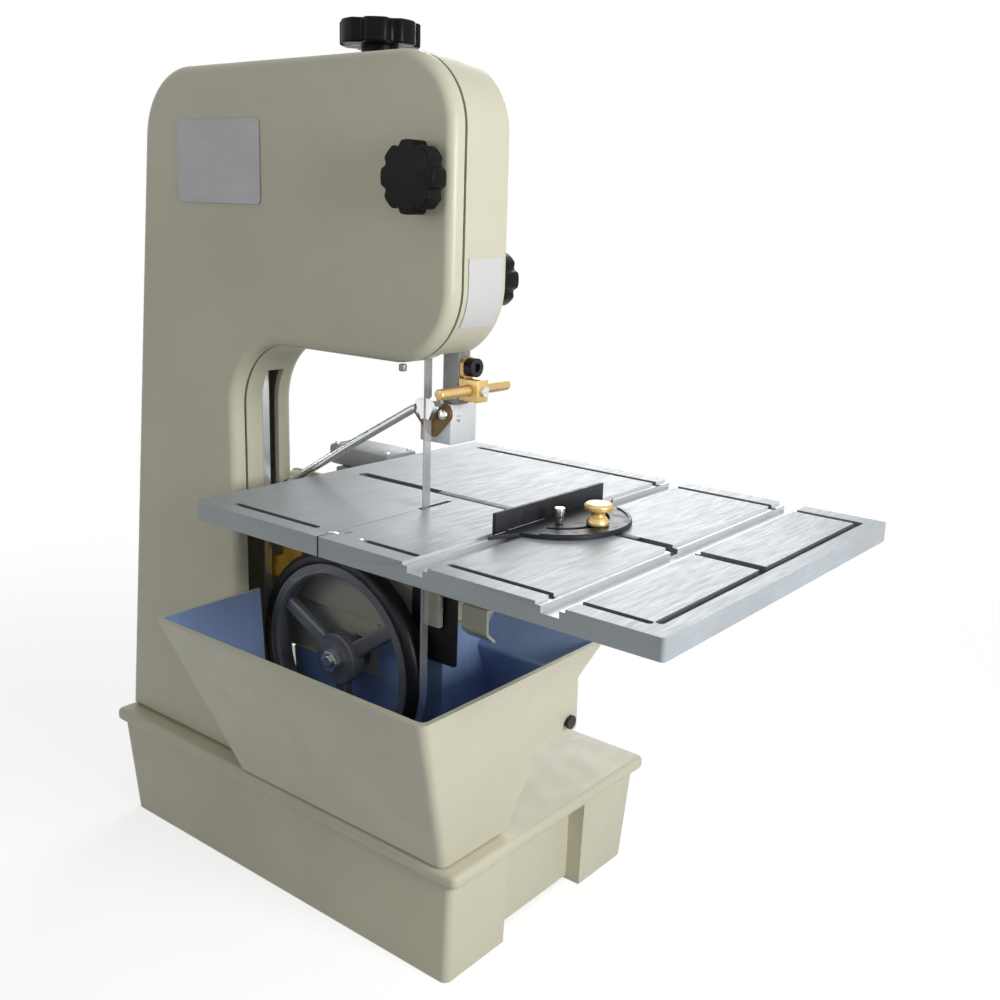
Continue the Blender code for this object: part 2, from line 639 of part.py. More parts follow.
def build_upper_wheel():
    axis_point = (WHEEL_X, WHEEL_Y, UPPER_Z)
    wheel("upper_wheel", UPPER_Z, 0.0143, axis_point)
    tyre("upper_tyre", UPPER_Z, axis_point)
    ring("upper_bearing", -0.0540, -0.0415, UPPER_Z, 0.0140, 0.0063, "steel")
    axle = cylinder((WHEEL_X, -0.04715, UPPER_Z), "Y", 0.0060, 0.0337, "axle", 24)
    part("upper_axle", axle, "steel")
    hex_nut("upper_hub_nut", -0.0610, HUB_Y[0], UPPER_Z, HUB_NUT, 0.0063)


def build_tension():
    block = box((WHEEL_X - SLIDE_HALF, -0.0300, UPPER_Z - SLIDE_HALF),
                (WHEEL_X + SLIDE_HALF, 0.0060, UPPER_Z + SLIDE_HALF), "slide_block", 0.001)
    thread = cylinder((WHEEL_X, SCREW_Y, UPPER_Z + 0.012), "Z", 0.0043, 0.024, "slide_thread", 16)
    part("tension_slide", cut(block, thread), "cast_metal")
    turns = 5
    points = []
    for k in range(turns * 9 + 1):
        angle = math.tau * k / 9
        height = LUG_Z[1] + 0.0016 + 0.0344 * k / (turns * 9)
        points.append((WHEEL_X + 0.0070 * math.cos(angle), SCREW_Y + 0.0070 * math.sin(angle),
                       height))
    part("tension_spring", tube(points, 0.0012, "spring", 1), "dark_steel")


# ---- blade --------------------------------------------------------------------------------------
def loop_outline(radius):
    upper = arc((WHEEL_X, UPPER_Z), radius, 0, 180, 24)
    lower = arc((WHEEL_X, LOWER_Z), radius, 180, 360, 24)
    return upper + lower


def build_blade():
    band = plate([loop_outline(BLADE_R + BLADE_THICK), loop_outline(BLADE_R)], "XZ",
                 WHEEL_Y - BLADE_HALF, WHEEL_Y + BLADE_HALF, "band")
    return part("saw_blade", band, "bright_steel")


# ---- drive --------------------------------------------------------------------------------------
def pulley(name, x, z, pitch, bore, origin):
    low, high = PULLEY_Y
    middle = (low + high) / 2
    half = (high - low) / 2
    profile = [(bore, -half), (bore, half), (pitch + 0.0045, half), (pitch + 0.0045, 0.0048),
               (pitch - 0.0036, 0.0044), (pitch - 0.0036, -0.0044), (pitch + 0.0045, -0.0048),
               (pitch + 0.0045, -half)]
    return part(name, turned(profile, (x, middle, z), "Y", name, 32, True), "cast_metal", origin)


def belt_outline(offset):
    """The loop of a belt round the two pulleys, at an offset from its pitch line."""
    big = DRIVEN_R + offset
    small = DRIVER_R + offset
    span = Vector((MOTOR_X - WHEEL_X, MOTOR_Z - LOWER_Z))
    lean = math.degrees(math.acos((big - small) / span.length))
    heading = math.degrees(math.atan2(span.y, span.x))
    around_big = arc((WHEEL_X, LOWER_Z), big, heading + lean, heading + 360 - lean, 24)
    around_small = arc((MOTOR_X, MOTOR_Z), small, heading - lean, heading + lean, 14)
    return around_big + around_small


def build_drive():
    lower_axis = (WHEEL_X, WHEEL_Y, LOWER_Z)
    motor_axis = (MOTOR_X, 0.041, MOTOR_Z)
    pulley("driven_pulley", WHEEL_X, LOWER_Z, DRIVEN_R, SHAFT_R + GAP, lower_axis)
    pulley("motor_pulley", MOTOR_X, MOTOR_Z, DRIVER_R, 0.0070, motor_axis)
    belt = plate([belt_outline(BELT_HALF), belt_outline(-BELT_HALF)], "XZ", 0.0370, 0.0450, "belt")
    part("drive_belt", belt, "rubber")
    shaft = cylinder((MOTOR_X, 0.0495, MOTOR_Z), "Y", 0.0067, 0.0290, "motor_shaft", 24)
    part("motor_shaft", shaft, "steel", motor_axis)

    plate_body = box((-0.225, 0.0515, 0.166), (-0.089, 0.0557, 0.316), "motor_plate", 0.004, "Y")
    posts = [cylinder((x, 0.0411, z), "Y", 0.0055, 0.0216, "standoff", 16)
             for x, z in ((-0.216, 0.310), (-0.098, 0.310), (-0.216, 0.192))]
    opening = cylinder((MOTOR_X, 0.054, MOTOR_Z), "Y", 0.016, 0.02, "motor_plate_hole", 32)
    part("motor_plate", cut(join(plate_body, *posts), opening), "beige_paint")

    ribs = []
    for k in range(72):
        angle = math.tau * k / 72
        reach = 0.0535 if k % 4 < 2 else 0.0490
        ribs.append((MOTOR_X + reach * math.cos(angle), MOTOR_Z + reach * math.sin(angle)))
    body = plate([ribs], "XZ", 0.0650, 0.1150, "motor_ribs")
    front_bell = cylinder((MOTOR_X, 0.0610, MOTOR_Z), "Y", MOTOR_R, 0.0100, "front_bell", 40)
    rear_bell = cylinder((MOTOR_X, 0.1180, MOTOR_Z), "Y", MOTOR_R, 0.0080, "rear_bell", 40)
    pad = box((MOTOR_X - 0.026, 0.0700, MOTOR_Z), (MOTOR_X + 0.026, 0.1120, 0.3215), "pad", 0.002, "Y")
    bore = cylinder((MOTOR_X, 0.0600, MOTOR_Z), "Y", 0.0072, 0.0160, "motor_bore", 24)
    part("motor_body", cut(join(body, front_bell, rear_bell, pad), bore), "grey_paint")

    cowl = [(0.0, 0.0280), (0.0400, 0.0280), (0.0520, 0.0200), (0.0540, 0.0), (0.0524, 0.0),
            (0.0505, 0.0190), (0.0390, 0.0262), (0.0, 0.0262)]
    fan_cover = turned(cowl, (MOTOR_X, 0.1223, MOTOR_Z), "Y", "cowl", 32)
    slots = []
    for k in range(8):
        slot = box((0.012, -0.002, 0.0), (0.036, 0.002, 0.06), "vent", 0.0015, "Z", 2)
        turn = Matrix.Rotation(math.tau * k / 8, 4, "Z")
        slot.data.transform(Matrix.Translation((MOTOR_X, 0.1223, MOTOR_Z)) @ AXES["Y"] @ turn)
        slots.append(slot)
    part("motor_fan_cover", cut(fan_cover, *slots), "black_paint")

    lid = box((-0.196, 0.0720, 0.3219), (-0.118, 0.1120, 0.3415), "terminal", 0.004)
    part("terminal_box", lid, "grey_paint")


# ---- guide post and blade guides ----------------------------------------------------------------
def build_guide_post():
    post = box((POST_X[0], POST_Y[0], POST_Z[0]), (POST_X[1], POST_Y[1], POST_Z[1]), "post", 0.0008)
    part("guide_post", post, "steel")
    sleeve = box((0.0395, -0.0440, 0.476), (0.0640, -0.0253, 0.531), "sleeve", 0.001)
    channel = box((POST_X[0] - GAP, POST_Y[0] - GAP, 0.396), (POST_X[1] + GAP, -0.02, 0.596), "channel")
    part("post_guide", cut(sleeve, channel), "cast_metal")

    low, high = GUIDE_BLOCK_Z
    block = box((0.0230, GUIDE_Y, low), (0.0530, -0.0100, high), "guide_block", 0.0008)
    part("guide_block", block, "table_metal")

    mid = BLADE_X
    lobe = 0.0072
    reach = 0.0108
    heart = arc((mid + reach, 0.4160), lobe, -35, 95, 8) + arc((mid - reach, 0.4160), lobe, 85, 215, 8)
    heart += [Vector((mid - 0.003, 0.398)), Vector((mid + 0.003, 0.398))]
    part("guide_plate", plate([heart], "XZ", PLATE_Y, GUIDE_Y - GAP, "heart"), "brass")

    for side, sign in (("left", -1), ("right", 1)):
        edge = mid + sign * 0.0006
        far = mid + sign * 0.0098
        outline = [(edge, 0.4120), (edge, 0.4270)]
        outline += arc((edge + sign * 0.002, 0.4190), 0.0080, 90, 90 - sign * 75, 5)
        outline += [(far - sign * 0.001, 0.4220), (edge + sign * 0.0030, 0.4110)]
        jaw = plate([outline if sign > 0 else outline[::-1]], "XZ", -0.0497, PLATE_Y - GAP, "jaw")
        part("guide_jaw_" + side, jaw, "bright_steel")
        screw_x = mid + sign * reach
        profile = [(0.0, -0.0028), (0.0022, -0.0026), (0.0036, -0.0016), (0.0042, 0.0), (0.0, 0.0)]
        head = turned(profile, (screw_x, PLATE_Y - GAP, 0.4155), "Y", "pan_head", 20)
        part("jaw_screw_" + side, head, "bright_steel")


def build_rod_clamp():
    lug = box((0.0593, -0.0375, 0.442), (0.0625, -0.0255, 0.458), "clamp_lug", 0.004, "X", 3)
    block = box((0.0593, -0.0385, 0.427), (0.0770, -0.0265, 0.443), "clamp_block", 0.0006)
    hole = cylinder((0.0680, -0.032, 0.435), "Y", 0.0043, 0.03, "rod_hole", 24)
    part("rod_clamp", cut(join(lug, block), hole), "brass")
    rod = cylinder((0.0680, -0.0320, 0.435), "Y", 0.0040, 0.0760, "rod", 24)
    part("brass_rod", soften(rod, 0.0012, 1), "brass", (0.0680, -0.0320, 0.435))
    head = cylinder((0.0668, -0.0315, 0.4508), "X", 0.0068, 0.0080, "socket_head", 28)
    socket = plate([hexagon((-0.0315, 0.4508), 0.0060)], "YZ", 0.0665, 0.0720, "socket")
    part("clamp_screw", cut(soften(head, 0.0006, 1), socket), "black_paint")
    button = cylinder((0.0787, -0.0325, 0.435), "X", 0.0036, 0.0028, "slot_head", 24)
    slot = box((0.0792, -0.0400, 0.4345), (0.0810, -0.0250, 0.4355), "slot")
    part("rod_set_screw", cut(button, slot), "bright_steel")


def build_coolant_tube():
    points = [(-0.1425, -0.0300, 0.3290), (-0.1360, -0.0300, 0.3290), (-0.1300, -0.0300, 0.3325),
              (-0.1150, -0.0300, 0.3420), (-0.0950, -0.0305, 0.3540), (-0.0500, -0.0315, 0.3800),
              (0.0000, -0.0328, 0.4080), (0.0110, -0.0333, 0.4140), (0.0180, -0.0342, 0.4165)]
    part("coolant_tube", tube(points, 0.0034, "pipe", 3), "bright_steel")


# ---- table and what hangs below it --------------------------------------------------------------
def channel_cut(x0, x1, y0, y1, depth, name):
    """A shallow water channel with round ends, cut down from the table's top."""
    along = "X" if x1 - x0 > y1 - y0 else "Y"
    half = min(x1 - x0, y1 - y0) / 2
    ends = 0.98 * half
    return box((x0, y0, TABLE_TOP - depth), (x1, y1, TABLE_TOP + 0.01), name + along, ends, "Z", 4)


def build_table():
    top = box((TABLE_X[0], TABLE_Y[0], TABLE_LOW), (TABLE_X[1], TABLE_Y[1], TABLE_TOP), "table_slab",
              0.003, "Z", 2)
    cuts = []
    for x in GROOVES_X:
        for half, depth in ((0.0105, 0.0022), (0.0065, 0.0065)):
            cuts.append(box((x - half, TABLE_Y[0] - 0.01, TABLE_TOP - depth),
                            (x + half, TABLE_Y[1] + 0.01, TABLE_TOP + 0.01), "groove"))
    cuts.append(channel_cut(-0.074, 0.292, SLOT_Y - 0.00475, SLOT_Y + 0.00475, 0.0055, "cross_slot"))
    for x0, x1 in ((-0.068, 0.022), (0.066, 0.115), (0.140, 0.222), (0.240, 0.288)):
        cuts.append(channel_cut(x0, x1, -0.1410, -0.1360, 0.003, "front_channel"))
    cuts.append(channel_cut(0.2875, 0.2930, -0.1370, 0.1510, 0.0032, "end_channel"))
    cuts.append(channel_cut(-0.075, 0.2925, 0.1450, 0.1510, 0.0028, "rear_channel"))
    slot_x = BLADE_X + 0.0003
    cuts.append(box((slot_x - 0.0022, -0.0540, 0.296), (slot_x + 0.0022, -0.0200, 0.396), "blade_slot"))
    cuts.append(box((slot_x - 0.0008, -0.1600, 0.296), (slot_x + 0.0008, -0.0530, 0.396), "blade_slit"))
    cuts.append(cylinder((slot_x, -0.1400, TABLE_TOP), "Z", 0.0045, 0.0060, "pin_seat", 24))
    cuts.append(cylinder((0.0620, -0.1385, TABLE_TOP), "Z", 0.0028, 0.0100, "small_hole", 16))
    part("table", cut(top, *cuts), "table_metal")


def build_table_bracket():
    low = LOWER_ARM_Z[1] + GAP
    high = TABLE_LOW - GAP
    pad = box((-0.090, -0.020, low), (0.200, 0.060, high), "bracket_pad", 0.004, "Z", 3)
    web_outline = [(0.0375, 0.2560), (0.0500, 0.2560), (0.1900, low + 0.004), (0.1900, high - 0.001),
                   (0.0375, high - 0.001)]
    web = plate([web_outline], "XZ", 0.0150, 0.0230, "bracket_web")
    part("table_bracket", join(pad, web), "beige_paint")


def build_lower_guide():
    top = TABLE_LOW - GAP
    bar = box((0.0300, -0.0388, 0.249), (0.0455, -0.0338, top), "guide_bar", 0.0012)
    foot = box((0.0300, -0.0388, top - 0.006), (0.0700, -0.0205, top), "guide_foot", 0.001)
    shelf = box((0.0440, -0.0388, 0.276), (0.0960, -0.0215, 0.281), "guide_shelf", 0.001)
    stem = box((0.0600, -0.0300, 0.280), (0.0680, -0.0250, top - 0.001), "guide_stem", 0.001)
    part("lower_guide_bracket", join(bar, foot, shelf, stem), "beige_paint")
    outer = rounded([(-0.0400, 0.2757, 0), (-0.0400, 0.256, 0.006), (-0.0300, 0.248, 0.004),
                     (-0.0290, 0.248, 0), (-0.0290, 0.250, 0), (-0.0376, 0.257, 0.004),
                     (-0.0376, 0.2733, 0.0), (-0.0220, 0.2733, 0), (-0.0220, 0.2757, 0)], 4)
    part("drain_spout", plate([outer], "YZ", 0.0690, 0.0930, "spout"), "beige_paint")
    flap = box((0.0110, -0.0322, 0.218), (0.0575, -0.0304, 0.2752), "flap", 0.003, "Y", 2)
    part("splash_flap", flap, "rubber")


def build_scraper():
    outline = [(-0.1330, 0.296), (-0.1330, 0.270), (-0.1560, 0.260), (-0.1560, 0.248),
               (-0.1100, 0.248), (-0.1100, 0.296)]
    body = plate([outline], "XZ", -0.0385, -0.0335, "scraper")
    stem = box((-0.1320, -0.0345, 0.272), (-0.1200, -0.0298, 0.292), "scraper_stem")
    round_off = cylinder((WHEEL_X, -0.036, LOWER_Z), "Y", BLADE_R + 0.0012, 0.02, "scraper_round", 64)
    part("wheel_scraper", cut(join(body, stem), round_off), "yellow_plastic")


# ---- mitre gauge --------------------------------------------------------------------------------
def build_mitre():
    bar = box((0.013, SLOT_Y - 0.0045, TABLE_TOP - 0.0052), (0.195, SLOT_Y + 0.0045, TABLE_TOP + 0.0002),
              "mitre_bar", 0.0006)
    part("mitre_bar", bar, "black_paint")
    pivot = (MITRE_X, SLOT_Y, TABLE_TOP)
    low = TABLE_TOP + 0.0006
    high = low + 0.0028
    half_disc = arc((MITRE_X, SLOT_Y), 0.0550, -68, 68, 18)
    outline = [Vector((MITRE_X - 0.0002, -0.0740)), Vector((MITRE_X + 0.0005, -0.0825)),
               Vector((MITRE_X + 0.010, -0.0600))]
    outline += half_disc
    outline += [Vector((MITRE_X + 0.010, 0.0510)), Vector((MITRE_X + 0.002, 0.0680)),
                Vector((MITRE_X - 0.0002, 0.0640))]
    head = plate([outline], "XY", low, high, "mitre_base")
    slot_outer = arc((MITRE_X, SLOT_Y), 0.0389, -64, 64, 16)
    slot_inner = arc((MITRE_X, SLOT_Y), 0.0342, 64, -64, 16)
    arc_slot = plate([slot_outer + slot_inner], "XY", low - 0.01, low + 0.02, "mitre_slot")
    head = cut(head, arc_slot)
    part("mitre_head", head, "black_paint", pivot)
    fence = box((MITRE_X - 0.0045, -0.0720, low), (MITRE_X - 0.0005, 0.0580, TABLE_TOP + 0.0168),
                "mitre_fence", 0.0008)
    part("mitre_fence", fence, "black_paint", pivot)
    pin_at = (MITRE_X + 0.0162, SLOT_Y - 0.0179)
    taper = cylinder((*pin_at, high + 0.0061), "Z", 0.0026, 0.0116, "pin", 24, 0.0038)
    part("mitre_pin", soften(taper, 0.0006, 1), "bright_steel", pivot)
    profile = [(0.0, 0.0155), (0.0085, 0.0155), (0.0102, 0.0142), (0.0104, 0.0125), (0.0101, 0.0108),
               (0.0070, 0.0098), (0.0050, 0.0085), (0.0050, 0.0065), (0.0078, 0.0032), (0.0083, 0.0010),
               (0.0080, 0.0), (0.0020, 0.0), (0.0020, -0.0031), (0.0, -0.0031)]
    knob_at = (MITRE_X + 0.0365, SLOT_Y, high + 0.0003)
    part("mitre_knob", turned(profile, knob_at, "Z", "brass_knob", 24), "brass", knob_at)


# ---- switch -------------------------------------------------------------------------------------
def build_switch():
    case = box((-0.245, FRAME_REAR + GAP, 0.391), (-0.185, 0.012, 0.461), "switch_case", 0.004)
    well = box((-0.229, 0.002, 0.410), (-0.201, 0.02, 0.442), "switch_well")
    part("switch_box", cut(case, well), "black_plastic")
    profile = rounded([(0.0045, 0.411, 0.002), (0.0160, 0.412, 0.001), (0.0135, 0.426, 0.006),
                       (0.0160, 0.440, 0.001), (0.0045, 0.441, 0.002)], 3)
    rocker = plate([profile], "YZ", -0.2284, -0.2016, "rocker")
    pivot = Vector((-0.215, 0.0075, 0.426))
    tilt = Matrix.Rotation(math.radians(-8), 4, "X")
    rocker.data.transform(Matrix.Translation(pivot) @ tilt @ Matrix.Translation(-pivot))
    part("switch_rocker", rocker, "black_plastic", pivot)
    gland = cylinder((-0.215, -0.005, 0.3845), "Z", 0.0070, 0.0124, "gland", 6)
    throat = cylinder((-0.215, -0.005, 0.375), "Z", 0.0052, 0.0080, "gland_nose", 20)
    mouth = cylinder((-0.215, -0.005, 0.372), "Z", 0.0034, 0.0120, "gland_mouth", 20)
    part("cable_gland", cut(join(gland, throat), mouth), "black_plastic")


def main():
    build_base()
    build_tray()
    build_drain_plug()
    build_frame()
    build_cover()
    build_cover_trim()
    build_cover_knob()
    build_lock_knob()
    build_tension_knob()
    build_lower_wheel()
    build_upper_wheel()
    build_tension()
    build_blade()
    build_drive()
    build_guide_post()
    build_rod_clamp()
    build_coolant_tube()
    build_table()
    build_table_bracket()
    build_lower_guide()
    build_scraper()
    build_mitre()
    build_switch()


main()
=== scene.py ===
"""Looks for the bench-top band saw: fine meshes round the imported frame, finishes, lights and camera.

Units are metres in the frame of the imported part.  +X runs from the column out along the arm,
+Y runs from the cover to the rear and +Z is up.
"""
import json
import math

import bmesh
import bpy
from mathutils import Matrix, Vector

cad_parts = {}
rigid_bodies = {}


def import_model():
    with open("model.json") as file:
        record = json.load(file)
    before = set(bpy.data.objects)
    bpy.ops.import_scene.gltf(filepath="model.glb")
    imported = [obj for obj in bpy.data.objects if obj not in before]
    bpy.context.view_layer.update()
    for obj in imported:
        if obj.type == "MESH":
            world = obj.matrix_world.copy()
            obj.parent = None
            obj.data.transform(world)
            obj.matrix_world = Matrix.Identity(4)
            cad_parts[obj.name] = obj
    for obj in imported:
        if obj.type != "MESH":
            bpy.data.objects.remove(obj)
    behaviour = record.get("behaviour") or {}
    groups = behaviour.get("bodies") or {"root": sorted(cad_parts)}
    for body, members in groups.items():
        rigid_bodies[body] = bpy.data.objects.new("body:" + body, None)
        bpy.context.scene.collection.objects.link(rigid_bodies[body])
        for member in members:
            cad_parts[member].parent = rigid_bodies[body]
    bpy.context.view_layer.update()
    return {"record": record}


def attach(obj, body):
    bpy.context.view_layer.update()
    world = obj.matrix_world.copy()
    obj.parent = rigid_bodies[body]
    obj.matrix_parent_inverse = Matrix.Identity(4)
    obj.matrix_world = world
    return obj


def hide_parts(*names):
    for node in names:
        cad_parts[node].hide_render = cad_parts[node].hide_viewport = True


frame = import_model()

BODY = {node: body for body, nodes in frame["record"]["behaviour"]["bodies"].items() for node in nodes}
FINE = 3                          # how many times finer curves are than in the frame
SHARP_DEG = 35                    # edges that turn more than this are rounded
PIECE_EDGE = 0.0004               # usual rounding on a sharp edge
FLUTE_DEPTH = 0.13                # of a knob's flutes, as a share of its radius

# ---- driving dimensions -------------------------------------------------------------------------
GAP = 0.0003                      # clearance between pieces that touch

TABLE_X = (-0.095, 0.305)
TABLE_Y = (-0.154, 0.166)
TABLE_TOP = 0.345
TABLE_THICK = 0.014
TABLE_LOW = TABLE_TOP - TABLE_THICK

WHEEL_X = -0.053                  # both wheels stand above each other
WHEEL_Y = -0.0465                 # middle plane of the wheels
LOWER_Z = 0.201
UPPER_Z = 0.557
TYRE_R = 0.0897
RIM_R = 0.0797
RIM_IN_R = 0.070
TYRE_HALF = 0.0085
RIM_HALF = 0.0078
HUB_R = 0.0215
HUB_Y = (-0.0545, -0.041)
SPOKE_ANGLES = (33, 153, 273)

BLADE_R = 0.0900                  # inner radius of the blade's bend
BLADE_THICK = 0.0005
BLADE_HALF = 0.004
BLADE_X = WHEEL_X + BLADE_R + BLADE_THICK / 2

BASE_TOP = 0.094
BASE_LIP_X = (-0.305, 0.119)
BASE_LIP_Y = (-0.099, 0.158)
BASE_LIP_LOW = 0.082
BASE_WALL_TOP = (-0.298, 0.112, -0.0955, 0.153)      # x0, x1, y0, y1 just under the lip
BASE_WALL_FOOT = (-0.280, 0.110, -0.0965, 0.143)    # the same at the floor
BASE_WALL = 0.005
RECESS_X = 0.096                  # back of the recess in the base, under the arm end
RECESS_Y = (-0.028, 0.076)

ARM_TOP = 0.659
ARM_UNDER = 0.455
ARM_END = 0.089
THROAT_X = -0.138
COLUMN_FOOT = BASE_TOP + 0.0005
BACK_FOOT_X = -0.301              # back edge of the column at its foot
BACK_SLOPE = 0.059 / 0.510        # the back edge leans towards +X going up
THROAT_R = 0.055
END_LOW_R = 0.054
END_TOP_R = 0.050
BACK_TOP_R = 0.055

FRAME_FRONT = -0.070
FRAME_REAR = -0.020
FRAME_WALL = 0.005
COVER_FRONT = -0.084
COVER_REAR = -0.072
COVER_WALL = 0.0025

LOWER_ARM_X = (-0.262, 0.037)
LOWER_ARM_Y = (-0.0255, 0.030)
LOWER_ARM_Z = (0.182, 0.316)
ARM_STEP_Z = 0.226                # underside of the arm on the far side of the bearing housing
HOUSING_X = (-0.0760, -0.0300)
HOUSING_Z = (0.1848, 0.232)
BEARING_R = 0.014
SHAFT_R = 0.0075
STUB_R = 0.005                    # threaded end of the shaft, in the hub nut
HUB_NUT = 0.016                   # across flats

SLIDE_HALF = 0.022                # half width and half height of the tension slide
SCREW_Y = -0.006                  # tension screw, behind the rear wall
LUG_Z = (0.596, 0.608)

POST_X = (0.044, 0.059)
POST_Y = (-0.0385, -0.0255)
POST_Z = (0.4233, 0.636)
GUIDE_BLOCK_Z = (0.393, 0.423)
PLATE_Y = -0.0417                 # front face of the heart-shaped guide plate
GUIDE_Y = -0.0387                 # front face of the guide block
ROD_AT = (0.0680, -0.0320, 0.435)

COVER_KNOB = (0.066, 0.578)
LOCK_KNOB = (0.0515, 0.511)

MOTOR_X = -0.157
MOTOR_Z = 0.265
MOTOR_R = 0.055
PULLEY_Y = (0.0335, 0.0485)
DRIVEN_R = 0.036                  # belt pitch radii
DRIVER_R = 0.016
BELT_HALF = 0.003
MOTOR_POSTS = ((-0.216, 0.310), (-0.098, 0.310), (-0.216, 0.192))
FAN_AT = (MOTOR_X, 0.1223, MOTOR_Z)

TRAY_RIM_Z = 0.245
TRAY_FLOOR = 0.0955
TRAY_WALL = 0.002
TRAY_CORNER = 0.0065
TRAY_BACK = -0.0262               # the deep part ends in front of the lower arm
TRAY_STEP_X = 0.0385              # past the arm's end the tray runs on behind it
PLUG = (0.0213, 0.1782)

SLOT_Y = -0.0045                  # cross slot of the table, where the mitre bar slides
MITRE_X = 0.125                   # centre of the mitre head
GROOVES_X = (0.126, 0.230)
TABLE_PIN = (BLADE_X + 0.0003, -0.1400)
TABLE_PEG = (0.0620, -0.1385)

AXES = {
    "X": Matrix.Rotation(math.radians(90), 4, "Y"),
    "Y": Matrix.Rotation(math.radians(-90), 4, "X"),
    "Z": Matrix.Identity(4),
}


# ---- finishes -----------------------------------------------------------------------------------
class Nodes:
    """A short way to write a material's nodes."""

    def __init__(self, name):
        self.made = bpy.data.materials.new(name)
        self.made.use_nodes = True
        self.tree = self.made.node_tree
        self.shader = self.tree.nodes["Principled BSDF"]
        self.place = self.add("ShaderNodeTexCoord").outputs["Object"]

    def add(self, kind, **values):
        node = self.tree.nodes.new(kind)
        for key, value in values.items():
            setattr(node, key, value)
        return node

    def link(self, output, target):
        self.tree.links.new(output, target)

    def scaled(self, stretch):
        node = self.add("ShaderNodeMapping")
        node.inputs["Scale"].default_value = stretch
        self.link(self.place, node.inputs["Vector"])
        return node.outputs["Vector"]

    def noise(self, scale, detail, rough=0.55, place=None):
        node = self.add("ShaderNodeTexNoise")
        node.inputs["Scale"].default_value = scale
        node.inputs["Detail"].default_value = detail
        node.inputs["Roughness"].default_value = rough
        self.link(place or self.place, node.inputs["Vector"])
        return node.outputs["Fac"]

    def span(self, value, low, high, new_low, new_high):
        node = self.add("ShaderNodeMapRange")
        node.interpolation_type = "SMOOTHSTEP"
        for slot, number in zip(("From Min", "From Max", "To Min", "To Max"),
                                (low, high, new_low, new_high)):
            node.inputs[slot].default_value = number
        self.link(value, node.inputs["Value"])
        return node.outputs["Result"]

    def mixed(self, factor, first, second):
        node = self.add("ShaderNodeMix", data_type="RGBA")
        self.link(factor, node.inputs["Factor"])
        for slot, colour in (("A", first), ("B", second)):
            target = next(s for s in node.inputs if s.name == slot and s.type == "RGBA")
            if isinstance(colour, tuple):
                target.default_value = (*colour, 1.0)
            else:
                self.link(colour, target)
        return next(s for s in node.outputs if s.type == "RGBA")

    def math(self, operation, first, second):
        node = self.add("ShaderNodeMath", operation=operation)
        for slot, value in zip(node.inputs, (first, second)):
            if isinstance(value, (int, float)):
                slot.default_value = value
            else:
                self.link(value, slot)
        return node.outputs[0]

    def bump(self, value, distance):
        node = self.add("ShaderNodeBump")
        node.inputs["Distance"].default_value = distance
        node.inputs["Strength"].default_value = 0.5
        self.link(value, node.inputs["Height"])
        return node.outputs["Normal"]

    def edges(self):
        """1 on worn outer edges, 0 elsewhere."""
        return self.span(self.add("ShaderNodeNewGeometry").outputs["Pointiness"], 0.52, 0.60, 0.0, 1.0)

    def painted_hollow_shade(self):
        """1 in inner corners, where shade is painted in as darker colour."""
        return self.span(self.add("ShaderNodeNewGeometry").outputs["Pointiness"], 0.40, 0.49, 1.0, 0.0)

    def set(self, slot, value):
        if isinstance(value, (int, float)):
            self.shader.inputs[slot].default_value = value
        elif isinstance(value, tuple):
            self.shader.inputs[slot].default_value = (*value, 1.0)
        else:
            self.link(value, self.shader.inputs[slot])


def shade(colour, factor):
    return tuple(channel * factor for channel in colour)


def paint(name, colour, rough=0.36, peel=0.00006, coat=0.05, specks=0.06, spec=0.3):
    """Sprayed enamel: a slight orange peel, faint clouding and painted shade in the corners."""
    n = Nodes(name)
    cloud = n.span(n.noise(9.0, 4.0), 0.35, 0.65, 0.0, 1.0)
    base = n.mixed(cloud, shade(colour, 0.97), shade(colour, 1.03))
    fleck = n.span(n.noise(1400.0, 2.0), 0.62, 0.72, 0.0, specks)
    base = n.mixed(fleck, base, shade(colour, 0.6))
    # painted shade: inner corners darkened, as where shade falls
    base = n.mixed(n.math("MULTIPLY", n.painted_hollow_shade(), 0.35), base, shade(colour, 0.55))
    n.set("Base Color", base)
    n.set("Roughness", n.span(n.noise(45.0, 4.0), 0.3, 0.7, rough - 0.04, rough + 0.07))
    n.set("Specular IOR Level", spec)
    n.set("Coat Weight", coat)
    n.set("Coat Roughness", 0.25)
    n.set("Normal", n.bump(n.noise(650.0, 2.0), peel))
    return n.made


def ground_metal(name, colour, rough, metal, lay=(1, 1, 1), depth=0.00002, dull=0.85):
    """Ground or brushed metal whose scratches run along the axis with the smallest stretch."""
    n = Nodes(name)
    lines = n.noise(700.0, 4.0, 0.6, n.scaled(lay))
    cloud = n.span(n.noise(14.0, 4.0), 0.35, 0.65, 0.0, 1.0)
    base = n.mixed(cloud, shade(colour, dull), colour)
    base = n.mixed(n.span(lines, 0.4, 0.75, 0.0, 0.35), base, shade(colour, 0.75))
    base = n.mixed(n.math("MULTIPLY", n.edges(), 0.5), base, shade(colour, 1.12))
    n.set("Base Color", base)
    n.set("Metallic", metal)
    n.set("Roughness", n.span(lines, 0.25, 0.75, rough - 0.06, rough + 0.10))
    n.set("Normal", n.bump(lines, depth))
    return n.made


def cast_metal(name, colour, rough, metal, depth=0.00025):
    """Sand-cast metal with a coarse skin."""
    n = Nodes(name)
    skin = n.noise(420.0, 6.0, 0.65)
    cloud = n.span(n.noise(30.0, 4.0), 0.3, 0.7, 0.0, 1.0)
    base = n.mixed(cloud, shade(colour, 0.8), colour)
    base = n.mixed(n.math("MULTIPLY", n.edges(), 0.6), base, shade(colour, 1.5))
    # painted shade: inner corners darkened, as where shade falls
    base = n.mixed(n.math("MULTIPLY", n.painted_hollow_shade(), 0.6), base, shade(colour, 0.4))
    n.set("Base Color", base)
    n.set("Metallic", metal)
    n.set("Roughness", n.span(skin, 0.3, 0.7, rough - 0.08, rough + 0.12))
    n.set("Normal", n.bump(skin, depth))
    return n.made


